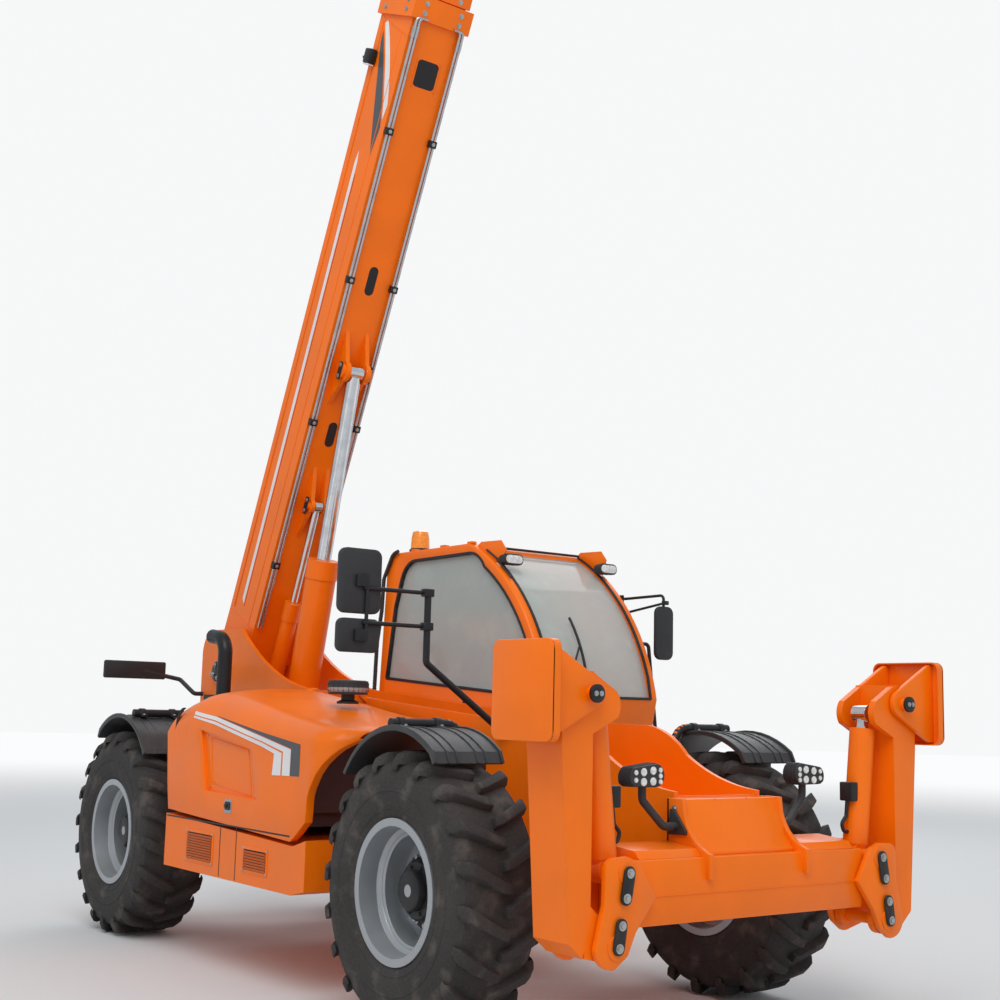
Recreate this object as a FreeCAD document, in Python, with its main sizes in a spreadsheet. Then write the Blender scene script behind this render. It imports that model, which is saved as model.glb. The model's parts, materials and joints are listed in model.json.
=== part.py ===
import FreeCAD, Part
# A telescopic handler of the 18 m class with two front stabiliser legs, standing on its wheels with
# the boom raised. X points forward, Y to the left and Z up, in millimetres. Station 0 along X is
# midway between the axles while a piece is built, and every finished piece is then moved by the
# same amount so that the part's origin is the centre of its footprint.
import math
import os

import Sketcher
from FreeCAD import Placement, Rotation, Vector

document = FreeCAD.newDocument("Telehandler")
sheet = document.addObject("Spreadsheet::Sheet", "Sizes")

# Driving dimensions: name, value in millimetres or degrees, meaning
DIMENSIONS = (
    ("wheel_base", 3390, "distance between the two axles"),
    ("origin_station", 230, "station of the part's origin, ahead of the middle of the wheel base"),
    ("axle_height", 640, "height of the wheel centres"),
    ("wheel_track", 1950, "distance between the tyres' middle planes"),
    # Tyres and rims
    ("tyre_radius", 640, "radius over the lugs"),
    ("tyre_width", 440, "width over the sidewalls"),
    ("rim_radius", 330, "radius of the rim flange"),
    ("rim_width", 400, "width over the rim flanges"),
    ("rim_well_radius", 262, "outer radius of the rim's well"),
    ("rim_wall", 12, "thickness of the rim and its disc"),
    ("hub_radius", 140, "radius of the wheel hub"),
    ("hub_face", 70, "distance of the hub's outer face from the tyre's middle plane"),
    ("hub_seat", 132, "distance of a knuckle's flange from the tyre's middle plane"),
    ("hub_cap_radius", 92, "radius of the raised end of the hub"),
    # Chassis
    ("plate_inner", 250, "distance of a chassis plate's inner face from the middle"),
    ("plate_thickness", 25, "thickness of a chassis side plate"),
    ("tower_rear", -2400, "station of the tower's rear edge"),
    ("tower_top", 2000, "height of the tower's top"),
    ("tower_front", -1790, "station where the tower's top ends"),
    ("deck_height", 1420, "height of the chassis plates beside the cab"),
    ("nose_start", 1840, "station where the chassis plates start to fall to the nose"),
    ("chassis_nose", 2600, "station of the chassis plates' front end"),
    ("nose_height", 1130, "height of the chassis plates at the nose"),
    ("axle_clearance_height", 850, "height of the chassis plates' lower edge over the axles"),
    ("belly_height", 560, "height of the chassis plates' lower edge between the axles"),
    ("belly_half_length", 1150, "half the length of the low middle part of the chassis"),
    # Boom pivot and boom
    ("pivot_station", -2120, "station of the boom's pivot"),
    ("pivot_height", 1700, "height of the boom's pivot"),
    ("pivot_pin_radius", 50, "radius of the boom's pivot pin"),
    ("boom_angle", 65, "angle of the boom above the horizontal"),
    ("boom_width", 400, "outer width of the boom's base section"),
    ("boom_depth", 430, "outer depth of the boom's base section"),
    ("boom_wall", 10, "wall of every boom section"),
    ("boom_corner", 60, "outside radius of the base section's lower corners"),
    ("boom_base_end", 4850, "distance of the base section's front end from the pivot"),
    ("boom_tube_start", 160, "distance of the base section's open tube from the pivot"),
    ("heel_reach", 290, "reach of the boom's heel behind the pivot"),
    ("section_gap", 15, "gap between one boom section and the next"),
    ("section_tail", 460, "distance of a retracted section's tail from the pivot"),
    ("section_step", 130, "length of each retracted section that shows ahead of the last"),
    ("collar_height", 22, "height of a collar above its section"),
    ("collar_length", 150, "length of the collar at a section's front end"),
    # Boom head and fork carriage
    ("head_station", 6080, "distance of the fork carriage's pin from the boom's pivot"),
    ("head_drop", 430, "distance of the fork carriage's pin below the boom's middle line"),
    ("head_cheek_gap", 150, "width between the cheeks of the boom's head"),
    ("head_cheek", 25, "thickness of a cheek of the boom's head"),
    ("carriage_width", 1260, "width of the fork carriage"),
    ("carriage_height", 560, "height of the fork carriage"),
    ("fork_length", 1200, "length of a fork's blade"),
    ("fork_width", 130, "width of a fork"),
    ("fork_thickness", 50, "thickness of a fork at its heel"),
    ("fork_spread", 640, "distance between the forks' middle planes"),
    # Cylinders that hold the boom
    ("lift_base_station", -1530, "station of the lift cylinder's lower pin"),
    ("lift_base_height", 930, "height of the lift cylinder's lower pin"),
    ("lift_eye_along", 2370, "distance of the lift cylinder's upper pin along the boom"),
    ("lift_eye_below", 310, "distance of the lift cylinder's upper pin below the boom's middle line"),
    ("lift_barrel_radius", 105, "outside radius of the lift cylinder's barrel"),
    ("lift_rod_radius", 50, "radius of the lift cylinder's rod"),
    ("lift_barrel_length", 1577, "length of the lift cylinder's barrel from its pin"),
    ("slave_base_station", -1950, "station of the levelling cylinder's lower pin"),
    ("slave_base_height", 1250, "height of the levelling cylinder's lower pin"),
    ("slave_eye_along", 1394, "distance of the levelling cylinder's upper pin along the boom"),
    ("slave_eye_below", 285, "distance of the levelling cylinder's upper pin below the middle line"),
    ("slave_barrel_radius", 56, "outside radius of the levelling cylinder's barrel"),
    ("slave_rod_radius", 25, "radius of the levelling cylinder's rod"),
    ("slave_barrel_length", 1017, "length of the levelling cylinder's barrel from its pin"),
    ("lift_retraction", 1290, "retraction of the lift cylinder's rod from rest"),
    ("slave_retraction", 525, "retraction of the levelling cylinder's rod from rest"),
    ("seat_gap", 0.3, "clearance of a piece from what it rests on"),
    ("pin_clearance", 0.05, "radial running clearance of a pin in its eye"),
    ("moving_gap", 6, "side clearance between pieces that turn past each other"),
    # Front beam and stabilisers
    ("beam_rear", 2605, "station of the front beam's rear face"),
    ("beam_front", 2850, "station of the front beam's front face"),
    ("beam_low", 598, "height of the front beam's lower edge"),
    ("beam_high", 868, "height of the front beam's upper edge"),
    ("beam_half", 720, "half the length of the front beam"),
    ("bracket_plate", 30, "thickness of the plates at the ends of the front beam"),
    ("leg_pin_side", 854, "distance of a stabiliser leg's pin from the middle"),
    ("leg_pin_height", 536, "height of a stabiliser leg's pin"),
    ("leg_pin_radius", 32, "radius of the stabiliser pins"),
    ("leg_inner_side", 962, "distance of a leg's inner face from the middle"),
    ("leg_width", 165, "width of a stabiliser leg across the vehicle"),
    ("leg_top", 1640, "height of a stowed leg's top"),
    ("jack_pin_side", 799, "distance of a stabiliser cylinder's fixed pin from the middle"),
    ("jack_pin_height", 828, "height of a stabiliser cylinder's fixed pin"),
    ("jack_eye_side", 875, "distance of a stabiliser cylinder's rod pin from the middle"),
    ("jack_eye_height", 1500, "height of a stabiliser cylinder's rod pin"),
    ("jack_radius", 60, "outside radius of a stabiliser cylinder's barrel"),
    ("jack_rod_radius", 30, "radius of a stabiliser cylinder's rod"),
    ("pad_pin_side", 1000, "distance of a foot pad's pin from the middle"),
    ("pad_pin_height", 1548, "height of a foot pad's pin"),
    ("pad_face_side", 1250, "distance of a stowed foot pad's sole from the middle"),
    ("pad_length", 400, "length of a foot pad along the vehicle"),
    ("pad_height", 410, "height of a stowed foot pad"),
    # Engine side
    ("hood_rear", -895, "station of the hood's rear edge"),
    ("hood_side", 1150, "distance of the hood's side from the middle"),
    ("hood_inner", 345, "distance of the hood's inner edge from the middle"),
    ("hood_hinge_side", 345, "distance of the hood's hinge line from the middle"),
    ("hood_hinge_height", 1560, "height of the hood's hinge line"),
    ("hood_eye_length", 40, "length of a hinge eye on the hood"),
    ("hood_pin_radius", 8, "radius of the hood's hinge pins"),
    ("hood_wall", 8, "thickness of the hood"),
    ("hood_bottom", 830, "height of the hood's lower edge"),
    ("hood_top_rear", 1565, "height of the hood's top near its rear"),
    ("hood_top_front", 1400, "height of the hood's top at its front"),
    ("hood_front", 1060, "station of the hood's front edge at the top"),
    ("box_front", 690, "station where the lower box starts to taper"),
    ("box_end", 830, "station of the lower box's front end"),
    ("box_low", 507, "height of the lower box's underside"),
    ("box_high", 812, "height of the lower box's top"),
    ("panel_joint", 8, "gap between one body panel and the next"),
    # Cab
    ("cab_inner_side", 290, "distance of the cab's inner wall from the middle"),
    ("cab_outer_side", 1170, "distance of the cab's outer wall from the middle"),
    ("cab_rear", -800, "station of the cab's rear wall"),
    ("cab_floor", 960, "height of the cab's underside"),
    ("cab_sill", 1500, "height of the cab's front panel under the windscreen"),
    ("cab_roof", 2500, "height of the cab's roof"),
    ("cab_front", 900, "station of the cab's front panel"),
    ("cab_wall", 45, "thickness of the cab's walls and pillars"),
    ("pillar_width", 75, "width of the cab's pillars beside the windows"),
    ("glass_thickness", 6, "thickness of the cab's glass"),
    ("door_gap", 6, "gap around the cab's door"),
)


class Size:
    """A length or an angle that knows its value and the sheet expression that gives it."""

    def __init__(self, value, text):
        self.value = float(value)
        self.text = text

    @staticmethod
    def of(item):
        """Return item as a Size, also when it is a plain number."""
        if isinstance(item, Size):
            return item
        return Size(item, repr(float(item)))

    def _join(self, other, sign, value):
        return Size(value, "(%s %s %s)" % (self.text, sign, other.text))

    def __add__(self, other):
        other = Size.of(other)
        return self._join(other, "+", self.value + other.value)

    def __sub__(self, other):
        other = Size.of(other)
        return self._join(other, "-", self.value - other.value)

    def __mul__(self, other):
        other = Size.of(other)
        return self._join(other, "*", self.value * other.value)

    def __truediv__(self, other):
        other = Size.of(other)
        return self._join(other, "/", self.value / other.value)

    def __radd__(self, other):
        return Size.of(other) + self

    def __rsub__(self, other):
        return Size.of(other) - self

    def __rmul__(self, other):
        return Size.of(other) * self

    def __neg__(self):
        return Size.of(-1) * self


def sine(angle):
    """Return the sine of an angle in degrees."""
    angle = Size.of(angle)
    return Size(math.sin(math.radians(angle.value)), "sin(%s)" % angle.text)


def cosine(angle):
    """Return the cosine of an angle in degrees."""
    angle = Size.of(angle)
    return Size(math.cos(math.radians(angle.value)), "cos(%s)" % angle.text)


def slope(rise, run):
    """Return the angle in degrees of a line that rises by rise over run."""
    rise, run = Size.of(rise), Size.of(run)
    value = math.degrees(math.atan2(rise.value, run.value))
    return Size(value, "(atan2(%s; %s) / 1deg)" % (rise.text, run.text))


def distance(rise, run):
    """Return the length of a line that rises by rise over run."""
    rise, run = Size.of(rise), Size.of(run)
    return Size(math.hypot(rise.value, run.value), "sqrt(%s ^ 2 + %s ^ 2)" % (rise.text, run.text))


class Sizes:
    """The driving dimensions by name, each bound to its cell of the sheet."""

    def __init__(self, dimensions):
        for row, (name, value, meaning) in enumerate(dimensions, start=1):
            sheet.set("A%d" % row, name)
            sheet.set("B%d" % row, str(value))
            sheet.set("C%d" % row, meaning)
            sheet.setAlias("B%d" % row, name)
            setattr(self, name, Size(value, "Sizes." + name))


s = Sizes(DIMENSIONS)
document.recompute()


HOOD_HINGES = (-650, -130)      # stations where the hood's hinge eyes begin


def bind(item, name, value):
    """Set a property of item, through an expression where the value comes from the sheet."""
    value = Size.of(value)
    if "Sizes." in value.text:
        item.setExpression(name, value.text)
    else:
        owner, _, last = name.rpartition(".")
        target = item
        for part in owner.split(".") if owner else ():
            target = getattr(target, part)
        setattr(target, last, value.value)


class Piece:
    """A body that grows feature by feature, each feature on a sketch of its own.

    A plane is XY, XZ or YZ. Its outline is a list of points in that plane's two axes. A point that
    starts with the word via lies on the arc from the point before it to the point after it.
    """

    ROLES = {"XY": "XY_Plane", "XZ": "XZ_Plane", "YZ": "YZ_Plane"}
    FACING = {"XY": 1, "XZ": -1, "YZ": 1}

    def __init__(self, label):
        self.body = document.addObject("PartDesign::Body", label)
        self.body.Label = label

    def _sketch(self, plane, level, origin=(0, 0)):
        sketch = self.body.newObject("Sketcher::SketchObject", "Sketch")
        role = self.ROLES[plane]
        support = next(item for item in self.body.Origin.OriginFeatures if item.Role == role)
        sketch.AttachmentSupport = [(support, "")]
        sketch.MapMode = "FlatFace"
        offsets = (Size.of(origin[0]), Size.of(origin[1]), self.FACING[plane] * Size.of(level))
        sketch.AttachmentOffset = Placement(Vector(*[size.value for size in offsets]), Rotation())
        for axis, size in zip("xyz", offsets):
            if "Sizes." in size.text:
                sketch.setExpression("AttachmentOffset.Base." + axis, size.text)
        return sketch

    @staticmethod
    def _fixed(element, end, point):
        """Return the rules, and the sizes they follow, that hold an end of an element at a point."""
        rules = []
        for kind, size in (("DistanceX", point[0]), ("DistanceY", point[1])):
            size = Size.of(size)
            if abs(size.value) < 1e-9 and "Sizes." not in size.text:
                on_axis = -2 if kind == "DistanceX" else -1
                rules.append((Sketcher.Constraint("PointOnObject", element, end, on_axis), None))
            else:
                rules.append((Sketcher.Constraint(kind, -1, 1, element, end, size.value), size))
        return rules

    @staticmethod
    def _apply(sketch, rules):
        """Add all rules at once, then bind those that follow the sheet."""
        numbers = sketch.addConstraint([rule for rule, size in rules])
        for number, (rule, size) in zip(numbers, rules):
            if size is not None and "Sizes." in size.text:
                sketch.setExpression("Constraints[%d]" % number, size.text)

    def _draw(self, sketch, outline):
        corners = [point for point in outline if point[0] != "via"]
        spots = [Vector(Size.of(a).value, Size.of(b).value, 0) for a, b in corners]
        count = len(spots)
        arcs = []
        ends = []
        element = 0
        for index, point in enumerate(outline):
            if point[0] == "via":
                continue
            start, end = spots[element], spots[(element + 1) % count]
            following = outline[(index + 1) % len(outline)]
            if following[0] != "via":
                sketch.addGeometry(Part.LineSegment(start, end))
                ends.append((1, 2))
            else:
                # Arcs run anticlockwise, so one that bends the other way is drawn from its end
                middle = Vector(Size.of(following[1]).value, Size.of(following[2]).value, 0)
                forwards = (middle - start).cross(end - middle).z > 0
                first, last = (start, end) if forwards else (end, start)
                sketch.addGeometry(Part.Arc(first, middle, last))
                ends.append((1, 2) if forwards else (2, 1))
                arcs.append((element, following[1:]))
            element += 1
        rules = []
        for element in range(count):
            after = (element + 1) % count
            meeting = (element, ends[element][1], after, ends[after][0])
            rules.append((Sketcher.Constraint("Coincident", *meeting), None))
        for element, corner in enumerate(corners):
            rules += self._fixed(element, ends[element][0], corner)
        # A point fixed on each arc settles its radius
        for element, spot in arcs:
            place = Vector(Size.of(spot[0]).value, Size.of(spot[1]).value, 0)
            mark = sketch.addGeometry(Part.Point(place), True)
            rules += self._fixed(mark, 1, spot)
            rules.append((Sketcher.Constraint("PointOnObject", mark, 1, element), None))
        self._apply(sketch, rules)

    def _feature(self, kind, sketch):
        feature = self.body.newObject("PartDesign::" + kind, kind)
        feature.Profile = sketch
        sketch.Visibility = False
        return feature

    def _extrude(self, kind, plane, sketch, low, high):
        feature = self._feature(kind, sketch)
        bind(feature, "Length", Size.of(high) - low)
        return feature

    def _level(self, kind, plane, low, high):
        towards_high = (self.FACING[plane] > 0) == (kind == "Pad")
        return low if towards_high else high

    def pad(self, plane, outline, low, high):
        """Add the outline's prism between two levels across the plane."""
        sketch = self._sketch(plane, self._level("Pad", plane, low, high))
        self._draw(sketch, outline)
        return self._extrude("Pad", plane, sketch, low, high)

    def pocket(self, plane, outline, low, high):
        """Cut the outline's prism between two levels across the plane."""
        sketch = self._sketch(plane, self._level("Pocket", plane, low, high))
        self._draw(sketch, outline)
        return self._extrude("Pocket", plane, sketch, low, high)

    def _circle(self, kind, plane, centre, radius, low, high):
        sketch = self._sketch(plane, self._level(kind, plane, low, high))
        spot = Vector(Size.of(centre[0]).value, Size.of(centre[1]).value, 0)
        sketch.addGeometry(Part.Circle(spot, Vector(0, 0, 1), Size.of(radius).value))
        width = Size.of(radius)
        rule = (Sketcher.Constraint("Radius", 0, width.value), width)
        self._apply(sketch, self._fixed(0, 3, centre) + [rule])
        return self._extrude(kind, plane, sketch, low, high)

    def boss(self, plane, centre, radius, low, high):
        """Add a round boss or pin between two levels across the plane."""
        return self._circle("Pad", plane, centre, radius, low, high)

    def bore(self, plane, centre, radius, low, high):
        """Cut a round hole between two levels across the plane."""
        return self._circle("Pocket", plane, centre, radius, low, high)

    def turn(self, plane, outline, origin=(0, 0), level=0, axis="H_Axis", kind="Revolution"):
        """Turn an outline, drawn from origin, about its sketch's own axis."""
        sketch = self._sketch(plane, level, origin)
        self._draw(sketch, outline)
        feature = self._feature(kind, sketch)
        feature.ReferenceAxis = (sketch, [axis])
        feature.Angle = 360.0
        return feature

    def round(self, points, radius):
        """Round the edges that pass nearest to the points."""
        document.recompute()
        shape = self.body.Shape
        names = []
        for point in points:
            spot = Part.Vertex(Vector(*[Size.of(value).value for value in point]))
            gaps = [edge.distToShape(spot)[0] for edge in shape.Edges]
            names.append("Edge%d" % (gaps.index(min(gaps)) + 1))
        feature = self.body.newObject("PartDesign::Fillet", "Fillet")
        feature.Base = (self.body.Tip, sorted(set(names)))
        bind(feature, "Radius", radius)
        return feature


def rectangle(low_a, high_a, low_b, high_b):
    """Return the outline of a rectangle."""
    return [(low_a, low_b), (high_a, low_b), (high_a, high_b), (low_a, high_b)]


def mirrored(source, normal=(0, 1, 0)):
    """Return the mirror image of an object about a plane through the origin."""
    image = document.addObject("Part::Mirroring", "Mirrored")
    image.Source = source
    image.Normal = Vector(*normal)
    return image


def joined(*items):
    """Return the union of several objects."""
    union = document.addObject("Part::MultiFuse", "Joined")
    union.Shapes = list(items)
    return union


def gathered(*items):
    """Return several objects that don't touch as one."""
    group = document.addObject("Part::Compound", "Gathered")
    group.Links = list(items)
    return group


def shared(*items):
    """Return what several objects have in common."""
    overlap = document.addObject("Part::MultiCommon", "Shared")
    overlap.Shapes = list(items)
    return overlap


def without(base, tool):
    """Return base with tool cut out of it."""
    rest = document.addObject("Part::Cut", "Rest")
    rest.Base = base
    rest.Tool = tool
    return rest


def bent_tube(points, radius, bend, bore=0):
    """Return a tube along straight runs joined by tangent arcs of radius bend."""
    spots = [Vector(*[Size.of(value).value for value in point]) for point in points]
    edges = []
    start = spots[0]
    for before, corner, after in zip(spots, spots[1:], spots[2:]):
        inward = (before - corner).normalize()
        outward = (after - corner).normalize()
        half_turn = (math.pi - inward.getAngle(outward)) / 2
        reach = Size.of(bend).value * math.tan(half_turn)
        first = corner + inward * reach
        last = corner + outward * reach
        towards = (inward + outward).normalize()
        centre = corner + towards * (Size.of(bend).value / math.cos(half_turn))
        middle = centre - towards * Size.of(bend).value
        edges.append(Part.LineSegment(start, first).toShape())
        edges.append(Part.Arc(first, middle, last).toShape())
        start = last
    edges.append(Part.LineSegment(start, spots[-1]).toShape())
    path = Part.Wire(edges)
    aim = spots[1] - spots[0]

    def sweep(size):
        ring = Part.Wire([Part.makeCircle(Size.of(size).value, spots[0], aim)])
        return path.makePipeShell([ring], True, False)

    shape = sweep(radius)
    if bore:
        shape = shape.cut(sweep(bore))
    tube = document.addObject("Part::Feature", "Tube")
    tube.Shape = shape
    return tube


NODES = []


def node(label, item, station=0, side=0, height=0, pitch=None):
    """Name a finished piece and put it in its place, pitched up by an angle where one is given."""
    if item.Label != label:
        item.Label = label
    if pitch is not None:
        item.Placement = Placement(Vector(), Rotation(Vector(0, -1, 0), Size.of(pitch).value))
        if "Sizes." in Size.of(pitch).text:
            item.setExpression("Placement.Rotation.Angle", Size.of(pitch).text)
    bind(item, "Placement.Base.x", Size.of(station) - s.origin_station)
    bind(item, "Placement.Base.y", side)
    bind(item, "Placement.Base.z", height)
    NODES.append(item)
    return item


# Places that several pieces share
front_axle = s.wheel_base / 2
plate_outer = s.plate_inner + s.plate_thickness
wheel_side = s.wheel_track / 2
boom_side = s.boom_width / 2
boom_half = s.boom_depth / 2
king_pin_side = wheel_side - 255


def on_boom(along, below):
    """Return the station and height of a point given along and below the boom's middle line."""
    station = s.pivot_station + along * cosine(s.boom_angle) + below * sine(s.boom_angle)
    height = s.pivot_height + along * sine(s.boom_angle) - below * cosine(s.boom_angle)
    return station, height


def make_main_frame():
    """Two long side plates with the tower at the rear, joined by cross plates and pin tubes."""
    piece = Piece("main_frame")
    tower_shoulder = s.tower_top - 130
    outline = [
        (s.tower_rear, s.axle_clearance_height + 50),
        (s.tower_rear, tower_shoulder - 60),
        ("via", s.tower_rear + 45, s.tower_top - 55),
        (s.tower_rear + 150, s.tower_top),
        (s.tower_front, s.tower_top),
        ("via", -1430, 1768),
        (-600, s.deck_height + 150),
        (s.nose_start - 500, s.deck_height),
        (s.nose_start, s.deck_height - 5),
        ("via", s.nose_start + 180, s.deck_height - 60),
        (s.nose_start + 290, s.deck_height - 145),
        ("via", s.nose_start + 430, s.deck_height - 215),
        (s.chassis_nose, s.nose_height),
        (s.chassis_nose, s.beam_low + 20),
        (front_axle + 620, s.beam_low),
        (front_axle + 350, s.axle_clearance_height),
        (front_axle - 350, s.axle_clearance_height),
        (s.belly_half_length, s.belly_height),
        (-s.belly_half_length, s.belly_height),
        (-front_axle + 350, s.axle_clearance_height),
        (-front_axle - 350, s.axle_clearance_height),
    ]
    piece.pad("XZ", outline, -plate_outer, -s.plate_inner)
    piece.pad("XZ", outline, s.plate_inner, plate_outer)
    # Belly, axle seats, rear closing plate, cab deck and nose floor run between the plates
    inner = s.plate_inner
    for rear, front, low, high in (
            (-s.belly_half_length, s.belly_half_length, s.belly_height, s.belly_height + 15),
            (-front_axle - 300, -front_axle + 80, s.axle_clearance_height, s.axle_clearance_height + 20),
            (front_axle - 300, front_axle + 300, s.axle_clearance_height, s.axle_clearance_height + 20),
            (s.tower_rear, s.tower_rear + 30, s.axle_clearance_height + 50, s.axle_clearance_height + 330),
            (s.chassis_nose - 20, s.chassis_nose, s.beam_low + 20, s.nose_height - 20)):
        piece.pad("XZ", rectangle(rear, front, low, high), -inner, inner)
    # Sloping nose cover between the two plates
    piece.pad("XZ", [
        (s.nose_start - 100, s.axle_clearance_height + 20),
        (s.nose_start - 85, s.axle_clearance_height + 20),
        (s.nose_start - 85, s.nose_height - 60),
        (s.chassis_nose, s.nose_height - 75),
        (s.chassis_nose, s.nose_height - 60),
        (s.nose_start - 100, s.nose_height - 45)], -inner, inner)
    # Ears and pins that hold the lift and levelling cylinders
    for station, height, pin, half, reach in (
            (s.lift_base_station, s.lift_base_height, 40, 62, 120),
            (s.slave_base_station, s.slave_base_height, 28, 34, 85)):
        for side in (-1, 1):
            near, far = (half, Size.of(half) + 28) if side > 0 else (-Size.of(half) - 28, -half)
            piece.boss("XZ", (station, height), reach - 30, near, far)
        piece.boss("XZ", (station, height), pin, -inner, inner)
    piece.boss("XZ", (s.pivot_station, s.pivot_height), s.pivot_pin_radius, -inner, inner)
    for side in (-1, 1):
        low, high = (plate_outer, plate_outer + 18) if side > 0 else (-plate_outer - 18, -plate_outer)
        piece.boss("XZ", (s.pivot_station, s.pivot_height), 85, low, high)
    # Lugs and pins of the hood's hinges, on the outside of the right plate
    for station in HOOD_HINGES:
        start = station + s.hood_eye_length + s.moving_gap
        piece.pad("YZ", [
            (-plate_outer, s.hood_hinge_height - 60), (-plate_outer, s.hood_hinge_height - 20),
            (-s.hood_hinge_side, s.hood_hinge_height + 14), ("via", -s.hood_hinge_side - 14, s.hood_hinge_height),
            (-s.hood_hinge_side, s.hood_hinge_height - 14)], start, start + 20)
        piece.boss("YZ", (-s.hood_hinge_side, s.hood_hinge_height), s.hood_pin_radius, station - 6, start + 20)
    return node("main_frame", piece.body)


def make_front_beam():
    """The cross beam at the nose with end plates that hold the stabiliser pins."""
    piece = Piece("front_beam")
    crease = (s.beam_low + s.beam_high) / 2 - 10
    piece.pad("XZ", [
        (s.beam_rear, s.beam_low + 12),
        (s.beam_front - 20, s.beam_low),
        (s.beam_front, crease),
        (s.beam_front - 15, s.beam_high),
        (s.beam_rear, s.beam_high)], -s.beam_half, s.beam_half)
    bracket = [
        (-s.beam_half + 80, crease),
        (-s.beam_half - 15, s.beam_high),
        (-s.jack_pin_side, s.jack_pin_height + 65),
        ("via", -s.jack_pin_side - 58, s.jack_pin_height + 40),
        (-s.jack_pin_side - 70, s.jack_pin_height),
        (-s.jack_pin_side - 78, s.jack_pin_height - 90),
        (-s.leg_pin_side - 45, s.leg_pin_height + 62),
        ("via", -s.leg_pin_side - 80, s.leg_pin_height + 5),
        (-s.leg_pin_side - 45, s.leg_pin_height - 62),
        ("via", -s.leg_pin_side + 10, s.leg_pin_height - 78),
        (-s.leg_pin_side + 60, s.leg_pin_height - 40),
        (-s.beam_half - 30, s.beam_low - 10),
    ]
    front_plate = (s.beam_front, s.beam_front + s.bracket_plate)
    rear_plate = (s.beam_rear - s.bracket_plate, s.beam_rear)
    for low, high in (front_plate, rear_plate):
        piece.pad("YZ", bracket, low, high)
        piece.pad("YZ", [
            (-point[0], point[1]) if point[0] != "via" else ("via", -point[1], point[2])
            for point in bracket], low, high)
    for side in (-1, 1):
        for across, height in ((s.jack_pin_side, s.jack_pin_height), (s.leg_pin_side, s.leg_pin_height)):
            piece.boss("YZ", (side * across, height), s.leg_pin_radius, rear_plate[0] - 12, front_plate[1] + 14)
    # Cover over the middle of the beam and curved ribs that carry the lamps
    piece.pad("XZ", [
        (s.chassis_nose, s.beam_high),
        (s.beam_front - 60, s.beam_high),
        (s.beam_front - 60, s.beam_high + 55),
        (s.chassis_nose, s.nose_height - 40)], -s.plate_inner + 5, s.plate_inner - 5)
    for side in (-1, 1):
        low, high = (s.plate_inner, plate_outer) if side > 0 else (-plate_outer, -s.plate_inner)
        piece.pad("XZ", [
            (s.chassis_nose, s.beam_high - 90),
            (s.beam_front, s.beam_high - 90),
            (s.beam_front + 20, s.beam_high - 90),
            (s.beam_front + 20, s.beam_high + 30),
            ("via", s.beam_front - 130, s.beam_high + 110),
            (s.beam_front - 150, s.nose_height - 20),
            (s.chassis_nose, s.nose_height)], low, high)
        near, far = (plate_outer, s.beam_half - 20) if side > 0 else (-s.beam_half + 20, -plate_outer)
        piece.pad("XZ", [
            (s.beam_rear, s.beam_high),
            (s.beam_front - 60, s.beam_high),
            (s.beam_front - 75, s.beam_high + 32),
            (s.beam_rear, s.beam_high + 40)], near, far)
    return node("front_beam", piece.body)


def axle_beam():
    """A steering axle: differential, tapering tubes and the yokes that hold the king pins."""
    piece = Piece("axle_beam")
    yoke = king_pin_side - 110
    piece.turn("XY", [
        (0, -yoke), (88, -yoke), (100, -330), (175, -190), ("via", 200, 0), (175, 190),
        (100, 330), (88, yoke), (0, yoke)], axis="V_Axis")
    for side in (-1, 1):
        low, high = (yoke - 30, yoke) if side > 0 else (-yoke, -yoke + 30)
        piece.pad("XZ", rectangle(-85, 85, -185, 185), low, high)
        for bottom in (-185, 140):
            if side > 0:
                arm = [(-80, yoke), (80, yoke), (80, king_pin_side), ("via", 0, king_pin_side + 80),
                       (-80, king_pin_side)]
            else:
                arm = [(80, -yoke), (-80, -yoke), (-80, -king_pin_side), ("via", 0, -king_pin_side - 80),
                       (80, -king_pin_side)]
            piece.pad("XY", arm, bottom, bottom + 45)
        piece.boss("XY", (0, side * king_pin_side), 30, -185, 185)
    # Seats that bolt the axle to the chassis
    piece.pad("XY", rectangle(-110, 110, -plate_outer, plate_outer), 90, s.axle_clearance_height - s.axle_height)
    return piece.body


def make_axles():
    """The same steering axle at the front and at the rear."""
    source = axle_beam()
    for label, station in (("front_axle", front_axle), ("rear_axle", -front_axle)):
        node(label, gathered(source), station=station, height=s.axle_height)


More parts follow.
